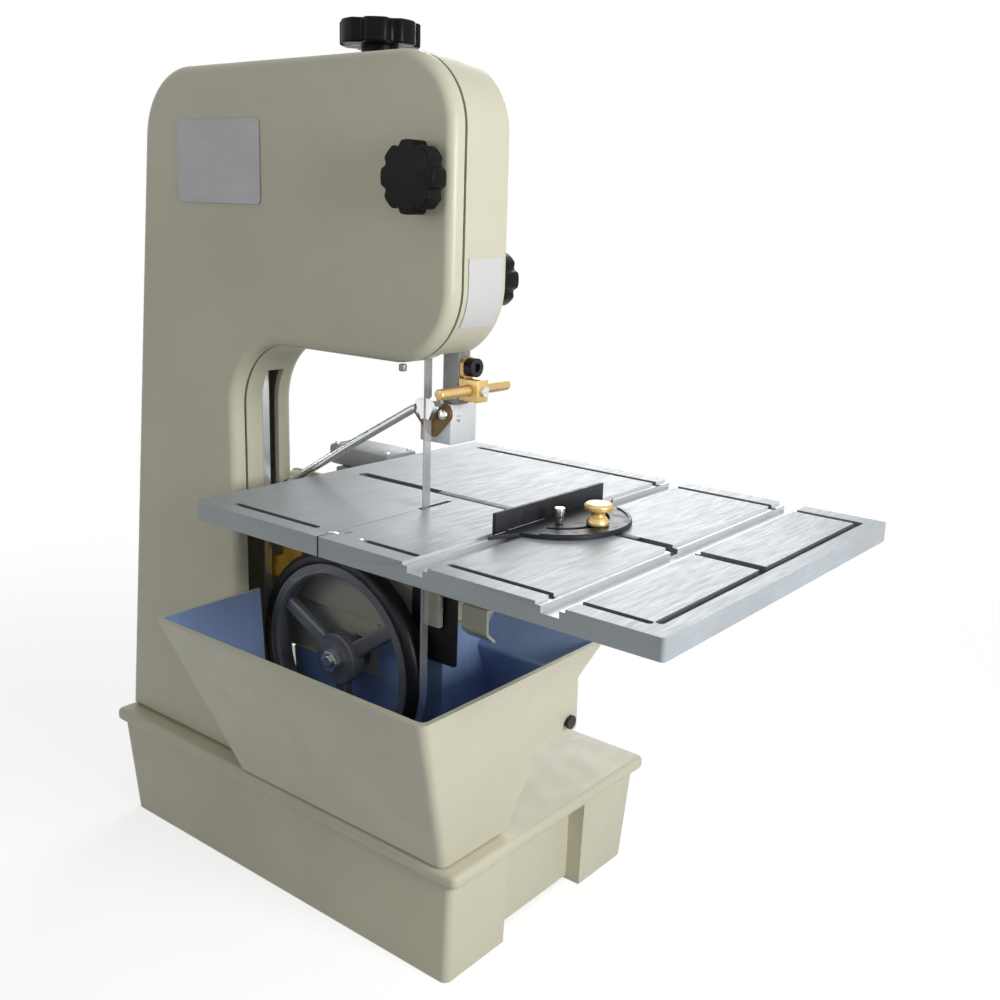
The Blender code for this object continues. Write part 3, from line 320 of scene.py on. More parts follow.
def moulded(name, colour, rough, depth, worn, spec=0.5):
    """Moulded plastic or hard rubber: smooth, with greasy patches and paler rubbed edges."""
    n = Nodes(name)
    cloud = n.span(n.noise(60.0, 5.0), 0.4, 0.65, 0.0, 1.0)
    base = n.mixed(cloud, colour, shade(colour, 1.5))
    base = n.mixed(n.math("MULTIPLY", n.edges(), worn), base, shade(colour, 4.0))
    n.set("Base Color", base)
    n.set("Roughness", n.span(n.noise(140.0, 4.0), 0.35, 0.7, rough, rough + 0.14))
    n.set("Specular IOR Level", spec)
    n.set("Normal", n.bump(n.noise(900.0, 3.0), depth))
    return n.made


def blade_metal(name):
    """Bright strip steel whose front edge carries a grey diamond grit."""
    n = Nodes(name)
    split = n.add("ShaderNodeSeparateXYZ")
    n.link(n.place, split.inputs[0])
    front = n.span(split.outputs["Y"], WHEEL_Y - BLADE_HALF + 0.0010, WHEEL_Y - BLADE_HALF + 0.0014,
                   1.0, 0.0)
    lines = n.noise(600.0, 3.0, 0.6, n.scaled((1, 8, 0.05)))
    grit = n.noise(3500.0, 2.0)
    steel = n.mixed(n.span(lines, 0.35, 0.7, 0.0, 1.0), (0.86, 0.87, 0.88), (0.72, 0.73, 0.75))
    n.set("Base Color", n.mixed(front, steel, (0.42, 0.42, 0.41)))
    n.set("Metallic", 0.75)
    n.set("Roughness", n.span(front, 0.0, 1.0, 0.24, 0.6))
    n.set("Normal", n.bump(n.math("MULTIPLY", front, grit), 0.0003))
    return n.made


BEIGE = (0.59, 0.57, 0.44)
FINISH = {
    "beige_paint": paint("beige_enamel", BEIGE),
    "cover_paint": paint("cover_enamel", BEIGE),
    "base_paint": paint("base_enamel", shade(BEIGE, 0.98), 0.42, 0.00012),
    "tray_paint": paint("tray_enamel", BEIGE, 0.40, 0.00008),
    "tray_inside": paint("tray_lining", (0.30, 0.41, 0.66), 0.30, 0.00004, 0.1),
    "table_metal": ground_metal("table_aluminium", (0.345, 0.378, 0.402), 0.42, 0.12, (1, 0.06, 1)),
    "guide_metal": ground_metal("guide_aluminium", (0.62, 0.64, 0.65), 0.42, 0.12, (1, 1, 0.06)),
    # painted shade: channels and slots coloured darker, as their walls face away from the light
    "groove_painted_shade": ground_metal("milled_channel_painted_shade", (0.17, 0.175, 0.18), 0.5, 0.5, (0.1, 1, 1)),
    # painted light: the mitre grooves coloured paler, as their walls face the light
    "groove_painted_light": ground_metal("milled_groove_painted_light", (0.62, 0.64, 0.66), 0.38, 0.45, (0.1, 1, 1)),
    "cast_metal": cast_metal("cast_grey", (0.21, 0.212, 0.225), 0.55, 0.4),
    "machined": ground_metal("machined_rim", (0.33, 0.335, 0.35), 0.32, 0.8, (1, 1, 1), 0.00004),
    "steel": ground_metal("ground_steel", (0.52, 0.525, 0.53), 0.28, 0.9, (1, 1, 0.05)),
    "post_steel": ground_metal("post_steel", (0.26, 0.265, 0.26), 0.36, 0.45, (1, 1, 0.05)),
    "bright_steel": ground_metal("bright_steel", (0.82, 0.83, 0.84), 0.16, 0.95),
    "plate_silver": ground_metal("plate_silver", (0.40, 0.395, 0.41), 0.38, 0.3, (0.04, 1, 1)),
    "dark_steel": cast_metal("black_oxide", (0.03, 0.03, 0.033), 0.4, 0.8, 0.00005),
    "brass": ground_metal("turned_brass", (0.76, 0.53, 0.22), 0.30, 0.6, (1, 1, 0.2), 0.00003, 0.8),
    "dark_brass": ground_metal("aged_brass", (0.17, 0.10, 0.036), 0.38, 0.5, (1, 1, 0.2), 0.00004, 0.7),
    "black_plastic": moulded("black_phenolic", (0.004, 0.0042, 0.004), 0.26, 0.00002, 0.05, 0.09),
    "black_paint": moulded("black_satin", (0.010, 0.0105, 0.0125), 0.36, 0.00006, 0.3, 0.25),
    "rubber": moulded("tyre_rubber", (0.008, 0.008, 0.008), 0.42, 0.00015, 0.1, 0.35),
    "grey_paint": paint("motor_grey", (0.42, 0.44, 0.46), 0.40, 0.0001),
    "yellow_plastic": moulded("amber_plastic", (0.62, 0.36, 0.03), 0.32, 0.00003, 0.0),
    "label_white": paint("blank_film", (0.60, 0.60, 0.59), 0.45, 0.00001, 0.0, 0.0),
    "saw_blade": blade_metal("blade_strip"),
    # scribed scale marks, also used for a painted highlight line on the mitre head
    "scribe_and_highlight": paint("scribe_white", (0.65, 0.66, 0.66), 0.5, 0.00001, 0.0, 0.0),
    # painted shade: a thin dark crescent on the table top
    "crescent_shade": moulded("crescent_painted_shade", (0.01, 0.01, 0.01), 0.7, 0.00001, 0.0, 0.1),
}

# ---- building blocks ----------------------------------------------------------------------------
def new_collection(name):
    made = bpy.data.collections.new(name)
    bpy.context.scene.collection.children.link(made)
    return made


PARTS = new_collection("fine_pieces")
CUTTERS = new_collection("fine_cutters")


def add(name, mesh, collection):
    made = bpy.data.objects.new(name, mesh)
    collection.objects.link(made)
    return made


def mesh_of(bm, name):
    bmesh.ops.recalc_face_normals(bm, faces=bm.faces)
    mesh = bpy.data.meshes.new(name)
    bm.to_mesh(mesh)
    bm.free()
    return mesh


def box(low, high, name="box", round_edges=0.0, along=None, steps=1):
    """A box between two corners; edges along one axis, or all edges, can be rounded."""
    bm = bmesh.new()
    bmesh.ops.create_cube(bm, size=1.0)
    for vertex in bm.verts:
        for i in range(3):
            vertex.co[i] = (low[i] + high[i]) / 2 + vertex.co[i] * (high[i] - low[i])
    if round_edges:
        chosen = bm.edges[:]
        if along:
            axis = "XYZ".index(along)
            chosen = [e for e in bm.edges if abs((e.verts[0].co - e.verts[1].co)[axis]) > 1e-6]
        bmesh.ops.bevel(bm, geom=chosen, offset=round_edges, segments=steps * 2, profile=0.5,
                        affect="EDGES", clamp_overlap=True)
    return add(name, mesh_of(bm, name), CUTTERS)


def frustum(low_rect, low_z, high_rect, high_z, name="frustum", corner=0.0):
    """A drafted box: rectangles (x0, x1, y0, y1) at two heights, with rounded upright corners."""
    bm = bmesh.new()
    bmesh.ops.create_cube(bm, size=1.0)
    for vertex in bm.verts:
        rect = high_rect if vertex.co.z > 0 else low_rect
        vertex.co.x = rect[1] if vertex.co.x > 0 else rect[0]
        vertex.co.y = rect[3] if vertex.co.y > 0 else rect[2]
        vertex.co.z = high_z if vertex.co.z > 0 else low_z
    if corner:
        upright = [e for e in bm.edges if abs(e.verts[0].co.z - e.verts[1].co.z) > 1e-6]
        bmesh.ops.bevel(bm, geom=upright, offset=corner, segments=10, profile=0.5, affect="EDGES")
    return add(name, mesh_of(bm, name), CUTTERS)


def cylinder(centre, axis, radius, length, name="cylinder", sides=32, radius_end=None):
    """A cylinder or cone whose middle is at centre, along a world axis."""
    bm = bmesh.new()
    bmesh.ops.create_cone(bm, cap_ends=True, cap_tris=False, radius1=radius,
                          segments=sides if sides < 8 else sides * 2,
                          radius2=radius if radius_end is None else radius_end, depth=length)
    bmesh.ops.transform(bm, matrix=Matrix.Translation(centre) @ AXES[axis], verts=bm.verts)
    return add(name, mesh_of(bm, name), CUTTERS)


def baked(item):
    """The evaluated shape of an object as a clean mesh of its own."""
    bpy.context.view_layer.update()
    evaluated = item.evaluated_get(bpy.context.evaluated_depsgraph_get())
    mesh = bpy.data.meshes.new_from_object(evaluated)
    bm = bmesh.new()
    bm.from_mesh(mesh)
    bmesh.ops.transform(bm, matrix=item.matrix_world, verts=bm.verts)
    bmesh.ops.remove_doubles(bm, verts=bm.verts, dist=1e-6)
    bmesh.ops.dissolve_limit(bm, angle_limit=math.radians(0.5), verts=bm.verts, edges=bm.edges,
                             delimit={"MATERIAL"})
    name = item.name
    spent = [step.object for step in item.modifiers if step.type == "BOOLEAN"]
    for old in [item, *spent]:
        bpy.data.objects.remove(old, do_unlink=True)
    made = add(name, mesh_of(bm, name), CUTTERS)
    for finish in mesh.materials:
        made.data.materials.append(finish)
    return made


def rounded(corners, steps=6):
    """Points of a polygon whose corners (x, y, radius) are replaced with arcs."""
    points = []
    count = len(corners)
    for i, (x, y, radius) in enumerate(corners):
        here = Vector((x, y))
        to_last = (Vector(corners[i - 1][:2]) - here).normalized()
        to_next = (Vector(corners[(i + 1) % count][:2]) - here).normalized()
        if radius <= 0:
            points.append(here)
            continue
        half = to_last.angle(to_next) / 2
        centre = here + (to_last + to_next).normalized() * (radius / math.sin(half))
        start = here + to_last * (radius / math.tan(half)) - centre
        turn = start.angle_signed(here + to_next * (radius / math.tan(half)) - centre)
        count_here = steps * FINE
        for k in range(count_here + 1):
            points.append(centre + Matrix.Rotation(-turn * k / count_here, 2) @ start)
    return points


def arc(centre, radius, start_deg, end_deg, steps=12):
    """Points on an arc about a centre."""
    points = []
    steps = steps * FINE
    for k in range(steps + 1):
        angle = math.radians(start_deg + (end_deg - start_deg) * k / steps)
        points.append(Vector((centre[0] + radius * math.cos(angle),
                              centre[1] + radius * math.sin(angle))))
    return points


def plate(outlines, plane, low, high, name="plate"):
    """A flat outline (with holes after the first loop) given a thickness across its plane.

    Plane XZ takes (x, z) points and runs from low to high along Y; XY runs along Z; YZ along X.
    """
    curve = bpy.data.curves.new(name, "CURVE")
    curve.dimensions = "2D"
    curve.fill_mode = "BOTH"
    curve.extrude = (high - low) / 2
    for outline in outlines:
        spline = curve.splines.new("POLY")
        spline.points.add(len(outline) - 1)
        for slot, point in zip(spline.points, outline):
            slot.co = (point[0], point[1], 0.0, 1.0)
        spline.use_cyclic_u = True
    middle = (low + high) / 2
    made = add(name, curve, CUTTERS)
    if plane == "XZ":
        made.matrix_world = Matrix(((1, 0, 0, 0), (0, 0, -1, middle), (0, 1, 0, 0), (0, 0, 0, 1)))
    elif plane == "YZ":
        made.matrix_world = Matrix(((0, 0, 1, middle), (1, 0, 0, 0), (0, 1, 0, 0), (0, 0, 0, 1)))
    else:
        made.matrix_world = Matrix.Translation((0, 0, middle))
    return baked(made)


def turned(profile, centre, axis, name="turned", steps=48, closed=False):
    """A lathe shape: (radius, height) points turned about a world axis through a centre."""
    bm = bmesh.new()
    ring = [bm.verts.new((radius, 0.0, height)) for radius, height in profile]
    pairs = list(zip(ring, ring[1:]))
    if closed:
        pairs.append((ring[-1], ring[0]))
    for first, second in pairs:
        bm.edges.new((first, second))
    mesh = bpy.data.meshes.new(name)
    bm.to_mesh(mesh)
    bm.free()
    made = add(name, mesh, CUTTERS)
    screw = made.modifiers.new("Turn", "SCREW")
    screw.axis = "Z"
    screw.steps = steps * 2
    screw.render_steps = steps * 2
    screw.use_merge_vertices = True
    screw.merge_threshold = 0.00001
    made.matrix_world = Matrix.Translation(centre) @ AXES[axis]
    return baked(made)


def tube(points, radius, name="tube", sides=4):
    """A round bar along a list of points."""
    curve = bpy.data.curves.new(name, "CURVE")
    curve.dimensions = "3D"
    curve.bevel_depth = radius
    curve.bevel_resolution = sides + 5
    curve.use_fill_caps = True
    spline = curve.splines.new("POLY")
    spline.points.add(len(points) - 1)
    for slot, point in zip(spline.points, points):
        slot.co = (*point, 1.0)
    return baked(add(name, curve, CUTTERS))


def combine(target, tools, operation):
    """Boolean each tool into the target; the tools stay behind as cutters."""
    for tool in tools:
        step = target.modifiers.new(operation.title(), "BOOLEAN")
        step.operation = operation
        step.material_mode = "TRANSFER"
        step.object = tool
    return target


def cut(target, *tools):
    return combine(target, tools, "DIFFERENCE")


def join(target, *tools):
    return combine(target, tools, "UNION")


def soften(item, width, steps=2):
    """Round the sharp edges of a shape."""
    bevel = item.modifiers.new("Bevel", "BEVEL")
    bevel.width = width
    bevel.segments = steps + 2
    bevel.limit_method = "ANGLE"
    bevel.angle_limit = math.radians(SHARP_DEG)
    return item


def coat(item, key):
    """Give a whole shape one finish."""
    item.data.materials.clear()
    item.data.materials.append(FINISH[key])
    for face in item.data.polygons:
        face.material_index = 0
    return item


def fill_finish(item, key):
    """Give every face that has no finish yet this one."""
    slots = item.data.materials
    if not slots:
        slots.append(FINISH[key])
    for index, finish in enumerate(slots):
        if finish is None:
            slots[index] = FINISH[key]


def dress(item, edge):
    """Smooth shading with a small rounding on each sharp edge."""
    item.data.shade_smooth()
    item.data.set_sharp_from_angle(angle=math.radians(SHARP_DEG))
    if edge:
        bevel = item.modifiers.new("Edge", "BEVEL")
        bevel.width = edge
        bevel.segments = 2
        bevel.limit_method = "ANGLE"
        bevel.angle_limit = math.radians(SHARP_DEG)
        bevel.harden_normals = True
        bevel.use_clamp_overlap = True
    return item


def finished(name, shape, key, edge):
    shape = baked(shape)
    shape.name = name
    CUTTERS.objects.unlink(shape)
    PARTS.objects.link(shape)
    fill_finish(shape, key)
    return dress(shape, edge)


def part(name, shape, key):
    """A finished piece that stands for one node of the frame and rides on that node's body."""
    shape = finished(name + "_fine", shape, LOOK.get(name, key), EDGE.get(name, PIECE_EDGE))
    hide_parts(name)
    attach(shape, BODY[name])


def extra(name, shape, key, body, edge=0.0003):
    """A small piece that no node of the frame stands for."""
    shape = finished(name, shape, key, edge)
    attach(shape, body)


LOOK = {"saw_blade": "saw_blade", "nameplate": "plate_silver", "guide_post": "post_steel",
        "guide_plate": "dark_brass", "rod_clamp": "brass", "guide_block": "guide_metal",
        "cover_pin": "post_steel"}
EDGE = {"saw_blade": 0.0, "table": 0.0007, "front_cover": 0.0005, "frame_casting": 0.0006,
        "base_shell": 0.0008, "water_tray": 0.0008, "blank_label": 0.0, "drive_belt": 0.0003,
        "nameplate": 0.0002, "tension_spring": 0.0, "coolant_tube": 0.0}


def round_rim(item, y, radius, steps):
    """Round the edges of a shape that lie in one plane across Y."""
    bm = bmesh.new()
    bm.from_mesh(item.data)
    rim = [e for e in bm.edges if all(abs(v.co.y - y) < 1e-6 for v in e.verts)]
    bmesh.ops.bevel(bm, geom=rim, offset=radius, segments=steps * 2, profile=0.5, affect="EDGES",
                    clamp_overlap=False)
    bm.to_mesh(item.data)
    bm.free()
    return item


def star_outline(radius, lobes):
    """A lobed knob outline: flat-topped lobes with narrow round flutes between them."""
    points = []
    total = lobes * 16
    for k in range(total):
        angle = math.tau * k / total
        flute = max(0.0, -math.cos(lobes * angle)) ** 2
        reach = radius - radius * FLUTE_DEPTH * flute
        points.append((reach * math.cos(angle), reach * math.sin(angle)))
    return points


def hexagon(centre, across_flats):
    reach = across_flats / math.sqrt(3)
    return [(centre[0] + reach * math.cos(math.radians(60 * k)),
             centre[1] + reach * math.sin(math.radians(60 * k))) for k in range(6)]


# ---- base and tray ------------------------------------------------------------------------------
def grown(rect, by):
    return (rect[0] - by, rect[1] + by, rect[2] - by, rect[3] + by)


def build_base():
    lip_x, lip_y = BASE_LIP_X, BASE_LIP_Y
    shell = frustum(BASE_WALL_FOOT, 0.0, BASE_WALL_TOP, BASE_LIP_LOW + 0.002, "base_wall", 0.006)
    slab = box((lip_x[0], lip_y[0], BASE_LIP_LOW), (lip_x[1], lip_y[1], BASE_TOP), "base_lip",
               0.006, "Z", 4)
    slab = baked(soften(slab, 0.0045, 2))
    near, far = RECESS_Y
    recess = box((RECESS_X, near, -0.01), (0.125, far, BASE_LIP_LOW), "base_recess")
    recess_back = box((RECESS_X - BASE_WALL, near - BASE_WALL, -0.01), (0.125, far + BASE_WALL, 0.096),
                      "recess_back")
    hollow = frustum(grown(BASE_WALL_FOOT, -BASE_WALL), -0.002, grown(BASE_WALL_TOP, -BASE_WALL),
                     BASE_TOP - 0.007, "base_hollow", 0.004)
    hollow = baked(cut(hollow, recess_back))
    foot_gap = box((RECESS_X - 2 * BASE_WALL, near, -0.01), (0.125, far, 0.003), "base_foot_gap")
    shell = baked(cut(join(shell, slab), recess, hollow, foot_gap))
    pads = [box((x, y, 0.0), (x + 0.028, y + 0.028, 0.012), "foot_pad")
            for x in (-0.278, 0.078) for y in (-0.0945, 0.112)]
    part("base_shell", join(shell, *pads), "base_paint")


def tray_profile(wall):
    """Side view (y, z) of the tray past the arm's end; wall is 0 outside, the thickness inside."""
    rim = TRAY_RIM_Z + 4 * wall
    return rounded([(-0.30, TRAY_FLOOR + wall, 0), (-0.0240 - wall / 2, TRAY_FLOOR + wall, 0.008),
                    (-0.0149 - wall, 0.1394, 0.006), (-0.0190 - wall, 0.1637 + wall, 0.002),
                    (0.0390 - 1.5 * wall, 0.1650 + wall, 0.003), (0.0161 - 1.2 * wall, 0.220, 0.004),
                    (0.0395 + 2.54 * wall, rim, 0), (-0.30, rim, 0)], 3)


def tray_solid(wall):
    """The tray's volume: sloping sides outside, then less the wall for its inside."""
    rim = TRAY_RIM_Z + 4 * wall
    sides = frustum(grown((-0.124, 0.105, -0.097, 0.2), -wall), TRAY_FLOOR - 0.002 + wall,
                    grown((-0.136, 0.145, -0.166, 0.2), -wall), rim, "tray_sides",
                    TRAY_CORNER - wall)
    deep = box((-0.2, -0.3, TRAY_FLOOR + wall), (0.1, TRAY_BACK - wall, rim), "tray_deep")
    rear = plate([tray_profile(wall)], "YZ", TRAY_STEP_X + wall, 0.2, "tray_rear")
    return baked(combine(sides, [baked(join(deep, rear))], "INTERSECT"))


def build_tray():
    wheel_gap = box((-0.150, -0.064, 0.140), (-0.105, -0.0290, 0.27), "tray_wheel_gap")
    arm_gap = box((-0.150, -0.0325, 0.1845), (HOUSING_X[1] + 0.001, -0.020, 0.27), "tray_arm_gap")
    step_gap = box((-0.080, -0.0325, 0.222), (TRAY_STEP_X, -0.020, 0.27), "tray_step_gap")
    drain = cylinder((0.125, *PLUG), "X", 0.0045, 0.03, "tray_drain", 16)
    outside = coat(tray_solid(0.0), "tray_paint")
    lining = coat(tray_solid(TRAY_WALL), "tray_inside")
    tray = cut(outside, lining, wheel_gap, arm_gap, step_gap, drain)
    part("water_tray", tray, "tray_paint")


def build_drain_plug():
    shank = cylinder((0.12375, *PLUG), "X", 0.0042, 0.0115, "plug_shank", 16)
    head = cylinder((0.1303, *PLUG), "X", 0.0055, 0.0024, "plug_head", 20)
    part("drain_plug", join(shank, head), "rubber")


# ---- frame and cover ----------------------------------------------------------------------------
def back_x(z):
    return BACK_FOOT_X + (z - COLUMN_FOOT) * BACK_SLOPE


def c_outline(inset=0.0):
    """The side view of frame and cover: a column, an arm, and the throat between them."""
    foot = COLUMN_FOOT + inset
    top = ARM_TOP - inset
    lean = inset * math.sqrt(1 + BACK_SLOPE ** 2)
    return rounded([
        (back_x(foot) + lean, foot, 0),
        (THROAT_X - inset, foot, 0),
        (THROAT_X - inset, ARM_UNDER + inset, THROAT_R + inset),
        (ARM_END - inset, ARM_UNDER + inset, END_LOW_R - inset),
        (ARM_END - inset, top, END_TOP_R - inset),
        (back_x(top) + lean, top, BACK_TOP_R - inset),
    ], 8)


def build_frame():
    shell = plate([c_outline()], "XZ", FRAME_FRONT, FRAME_REAR, "frame_outer")
    shell = round_rim(shell, FRAME_REAR, 0.010, 3)
    pocket = plate([c_outline(FRAME_WALL)], "XZ", FRAME_FRONT - 0.01, FRAME_REAR - FRAME_WALL,
                   "frame_pocket")
    shell = baked(cut(shell, pocket))

    arm = box((LOWER_ARM_X[0], LOWER_ARM_Y[0], LOWER_ARM_Z[0]),
              (LOWER_ARM_X[1], LOWER_ARM_Y[1], LOWER_ARM_Z[1]), "lower_arm", 0.003, None, 2)
    arm_pocket = box((LOWER_ARM_X[0] + 0.006, LOWER_ARM_Y[0] + 0.006, 0.096),
                     (LOWER_ARM_X[1] - 0.006, LOWER_ARM_Y[1] - 0.006, 0.310), "lower_arm_pocket")
    arm_step = box((HOUSING_X[1], -0.04, 0.16), (LOWER_ARM_X[1] + 0.01, 0.04, ARM_STEP_Z), "arm_step")
    ledge = box((THROAT_X + 0.001, -0.0295, 0.231), (LOWER_ARM_X[1] - 0.001, -0.024, 0.310),
                "arm_ledge", 0.001)
    arm = baked(join(cut(arm, arm_pocket, arm_step), ledge))

    housing = box((HOUSING_X[0], -0.0274, HOUSING_Z[0]), (HOUSING_X[1], LOWER_ARM_Y[1], HOUSING_Z[1]),
                  "bearing_housing", 0.001)
    rails = [box((x0, -0.0215, 0.496), (x1, 0.001, 0.595), "slide_rail")
             for x0, x1 in ((WHEEL_X - 0.031, WHEEL_X - 0.0225), (WHEEL_X + 0.0225, WHEEL_X + 0.031))]
    lug = box((WHEEL_X - 0.031, -0.0215, LUG_Z[0] - 0.002), (WHEEL_X + 0.031, 0.011, LUG_Z[1]),
              "tension_lug", 0.002)
    knob_boss = cylinder((COVER_KNOB[0], -0.0520, COVER_KNOB[1]), "Y", 0.0050, 0.0580,
                         "cover_boss", 20)
    stops = [cylinder((x, -0.0520, z), "Y", 0.006, 0.0580, "cover_stop", 16)
             for x, z in ((-0.225, 0.596), (-0.275, 0.146))]
    shell = baked(join(shell, arm, housing, *rails, lug, knob_boss, *stops))

    window = box((WHEEL_X - 0.0225, -0.03, 0.501), (WHEEL_X + 0.0225, 0.002, 0.5935), "slide_window")
    screw_hole = cylinder((WHEEL_X, SCREW_Y, 0.602), "Z", 0.0045, 0.03, "screw_hole", 20)
    shaft_hole = cylinder((WHEEL_X, 0.0, LOWER_Z), "Y", 0.0125, 0.09, "shaft_hole", 32)
    seats = [cylinder((WHEEL_X, y, LOWER_Z), "Y", BEARING_R + GAP, 0.020, "bearing_seat", 32)
             for y in (-0.0274, 0.030)]
    wheel_slot = box((-0.160, -0.080, 0.1045), (-0.130, -0.0255, 0.295), "wheel_slot")
    blade_slot = box((-0.160, -0.0540, 0.290), (-0.130, -0.0370, 0.436), "column_blade_slot")
    arm_slot = box((0.028, -0.060, 0.446), (0.0605, -0.0250, 0.474), "arm_slot")
    stud_holes = [cylinder((knob[0], y, knob[1]), "Y", 0.0033, 0.024, "stud_hole", 14)
                  for knob, y in ((COVER_KNOB, -0.0700), (LOCK_KNOB, -0.0220))]
    pipe_hole = cylinder((-0.138, -0.0300, 0.329), "X", 0.0040, 0.02, "pipe_hole", 16)
    shell = baked(cut(shell, window, screw_hole, shaft_hole, *seats))
    shell = cut(shell, wheel_slot, blade_slot, arm_slot, *stud_holes, pipe_hole)
    part("frame_casting", shell, "beige_paint")


def build_cover():
    shell = plate([c_outline()], "XZ", COVER_FRONT, COVER_REAR, "cover_outer")
    shell = round_rim(shell, COVER_FRONT, 0.007, 4)
    hollow = plate([c_outline(COVER_WALL + 0.0008)], "XZ", COVER_FRONT + COVER_WALL,
                   COVER_REAR + 0.01, "cover_hollow")
    hollow = round_rim(hollow, COVER_FRONT + COVER_WALL, 0.005, 2)
    hole = cylinder((COVER_KNOB[0], COVER_FRONT, COVER_KNOB[1]), "Y", 0.0035, 0.02, "cover_hole", 16)
    shell = cut(shell, hollow, hole)
    part("front_cover", shell, "cover_paint")


def build_cover_trim():
    nameplate = box((-0.196, -0.0851, 0.558), (-0.098, COVER_FRONT - GAP, 0.619), "plate", 0.003, "Y")
    part("nameplate", nameplate, "bright_steel")
    centre = (ARM_END - END_LOW_R, ARM_UNDER + END_LOW_R)
    near = arc(centre, END_LOW_R + GAP, -30, 0, 6)
    far = arc(centre, END_LOW_R + 0.0008, -30, 0, 6)
    near.append(Vector((ARM_END + GAP, 0.528)))
    far.append(Vector((ARM_END + 0.0008, 0.528)))
    sticker = plate([near + far[::-1]], "XZ", -0.0660, -0.0310, "sticker")
    part("blank_label", sticker, "label_white")
    pin = cylinder((0.0430, -0.0790, 0.4522), "Z", 0.0028, 0.0050, "pin", 16)
    part("cover_pin", soften(pin, 0.0008), "bright_steel")


# ---- knobs --------------------------------------------------------------------------------------
def star_knob(centre, axis, radius, thick, lobes, name):
    """A lobed moulding that is `thick` long, from `centre` out along the axis (may be negative)."""
    disc = plate([star_outline(radius, lobes)], "XY", min(0, thick), max(0, thick), name)
    disc = baked(soften(disc, 0.0034, 3))
    disc.matrix_world = Matrix.Translation(centre) @ AXES[axis]
    return baked(disc)


def stud_knob(name, at, disc, neck, stud):
    """A lobed knob on a stud across Y: disc is (y, radius, thickness, lobes), the rest (y, ...)."""
    x, z = at
    y, radius, thick, lobes = disc
    knob = star_knob((x, y, z), "Y", radius, thick, lobes, name + "_disc")
    neck = cylinder((x, neck[0], z), "Y", neck[1], neck[2], name + "_neck", 24)
    stud = cylinder((x, stud[0], z), "Y", 0.0030, stud[1], name + "_stud", 12)
    part(name, join(knob, neck, stud), "black_plastic")


def build_stud_knobs():
    stud_knob("cover_knob", COVER_KNOB, (-0.089, 0.0232, -0.0135, 8), (-0.0871, 0.009, 0.0052),
              (-0.0765, 0.026))
    stud_knob("post_lock_knob", LOCK_KNOB, (-0.008, 0.0210, 0.019, 7), (-0.0135, 0.008, 0.0120),
              (-0.0170, 0.0160))


def build_tension_knob():
    knob = star_knob((WHEEL_X, SCREW_Y, 0.674), "Z", 0.0300, 0.0170, 7, "tension_disc")
    hub = cylinder((WHEEL_X, SCREW_Y, 0.668), "Z", 0.014, 0.016, "tension_hub", 32)
    collar = cylinder((WHEEL_X, SCREW_Y, 0.654), "Z", 0.0098, 0.016, "tension_collar", 24)
    screw = cylinder((WHEEL_X, SCREW_Y, 0.613), "Z", 0.0040, 0.100, "tension_screw", 16)
    part("tension_knob", join(knob, hub, collar, screw), "black_plastic")


# ---- wheels and their axles ---------------------------------------------------------------------
def wheel(name, z, bore):
    ease = 0.0010
    profile = []
    for side in (-1, 1):
        low = [(RIM_IN_R, side * (RIM_HALF - 2 * ease)), (RIM_IN_R + 2 * ease, side * RIM_HALF),
               (RIM_R - ease / 2, side * RIM_HALF), (RIM_R, side * (RIM_HALF - ease / 2))]
        profile += low if side < 0 else low[::-1]
    rim = turned(profile, (WHEEL_X, WHEEL_Y, z), "Y", name + "_rim", 64, True)
    low, high = HUB_Y
    hub = turned([(0.0, low), (HUB_R - ease, low), (HUB_R, low + ease), (HUB_R, high - ease),
                  (HUB_R - ease, high), (0.0, high)], (WHEEL_X, 0, z), "Y", name + "_hub", 40)
    spokes = []
    for angle in SPOKE_ANGLES:
        spoke = box((HUB_R - 0.006, -0.0045, -0.0070), (RIM_IN_R + 0.003, 0.0045, 0.0070), "spoke",
                    0.0028, "X", 2)
        for vertex in spoke.data.vertices:
            if vertex.co.x > RIM_IN_R:
                vertex.co.z *= 0.86
        turn = Matrix.Rotation(math.radians(-angle), 4, "Y")
        spoke.data.transform(Matrix.Translation((WHEEL_X, WHEEL_Y + 0.001, z)) @ turn)
        spokes.append(spoke)
    hole = cylinder((WHEEL_X, WHEEL_Y, z), "Y", bore, 0.08, name + "_bore", 32)
    body = baked(cut(join(rim, hub, *spokes), hole))
    body.data.materials.append(FINISH["cast_metal"])
    body.data.materials.append(FINISH["machined"])
    for face in body.data.polygons:
        reach = math.hypot(face.center.x - WHEEL_X, face.center.z - z)
        flat = abs(face.normal.y) > 0.6 and (reach > RIM_IN_R or reach < HUB_R + ease)
        face.material_index = 1 if flat else 0
    part(name, body, "cast_metal")


def tyre(name, z):
    half = [(RIM_R + GAP, TYRE_HALF - 0.0004), (RIM_R + 0.0010, TYRE_HALF), (0.0856, TYRE_HALF),
            (0.0864, 0.0081), (0.0880, 0.0069), (0.0891, 0.0055), (0.0896, 0.0040),
            (TYRE_R, 0.0020)]
    crown = half + [(radius, -y) for radius, y in half[::-1]]
    part(name, turned(crown, (WHEEL_X, WHEEL_Y, z), "Y", name, 64, True), "rubber")


def bearing(name, y0, y1, z, outer, inner):
    body = cylinder((WHEEL_X, (y0 + y1) / 2, z), "Y", outer, y1 - y0, name + "_body")
    hole = cylinder((WHEEL_X, (y0 + y1) / 2, z), "Y", inner, 0.05, name + "_hole")
    part(name, cut(body, hole), "steel")


def hub_nut(name, y0, y1, z, bore):
    body = plate([hexagon((WHEEL_X, z), HUB_NUT)], "XZ", y0, y1, name + "_hex")
    hole = cylinder((WHEEL_X, (y0 + y1) / 2, z), "Y", bore, 0.03, name + "_hole", 20)
    part(name, cut(body, hole), "bright_steel")


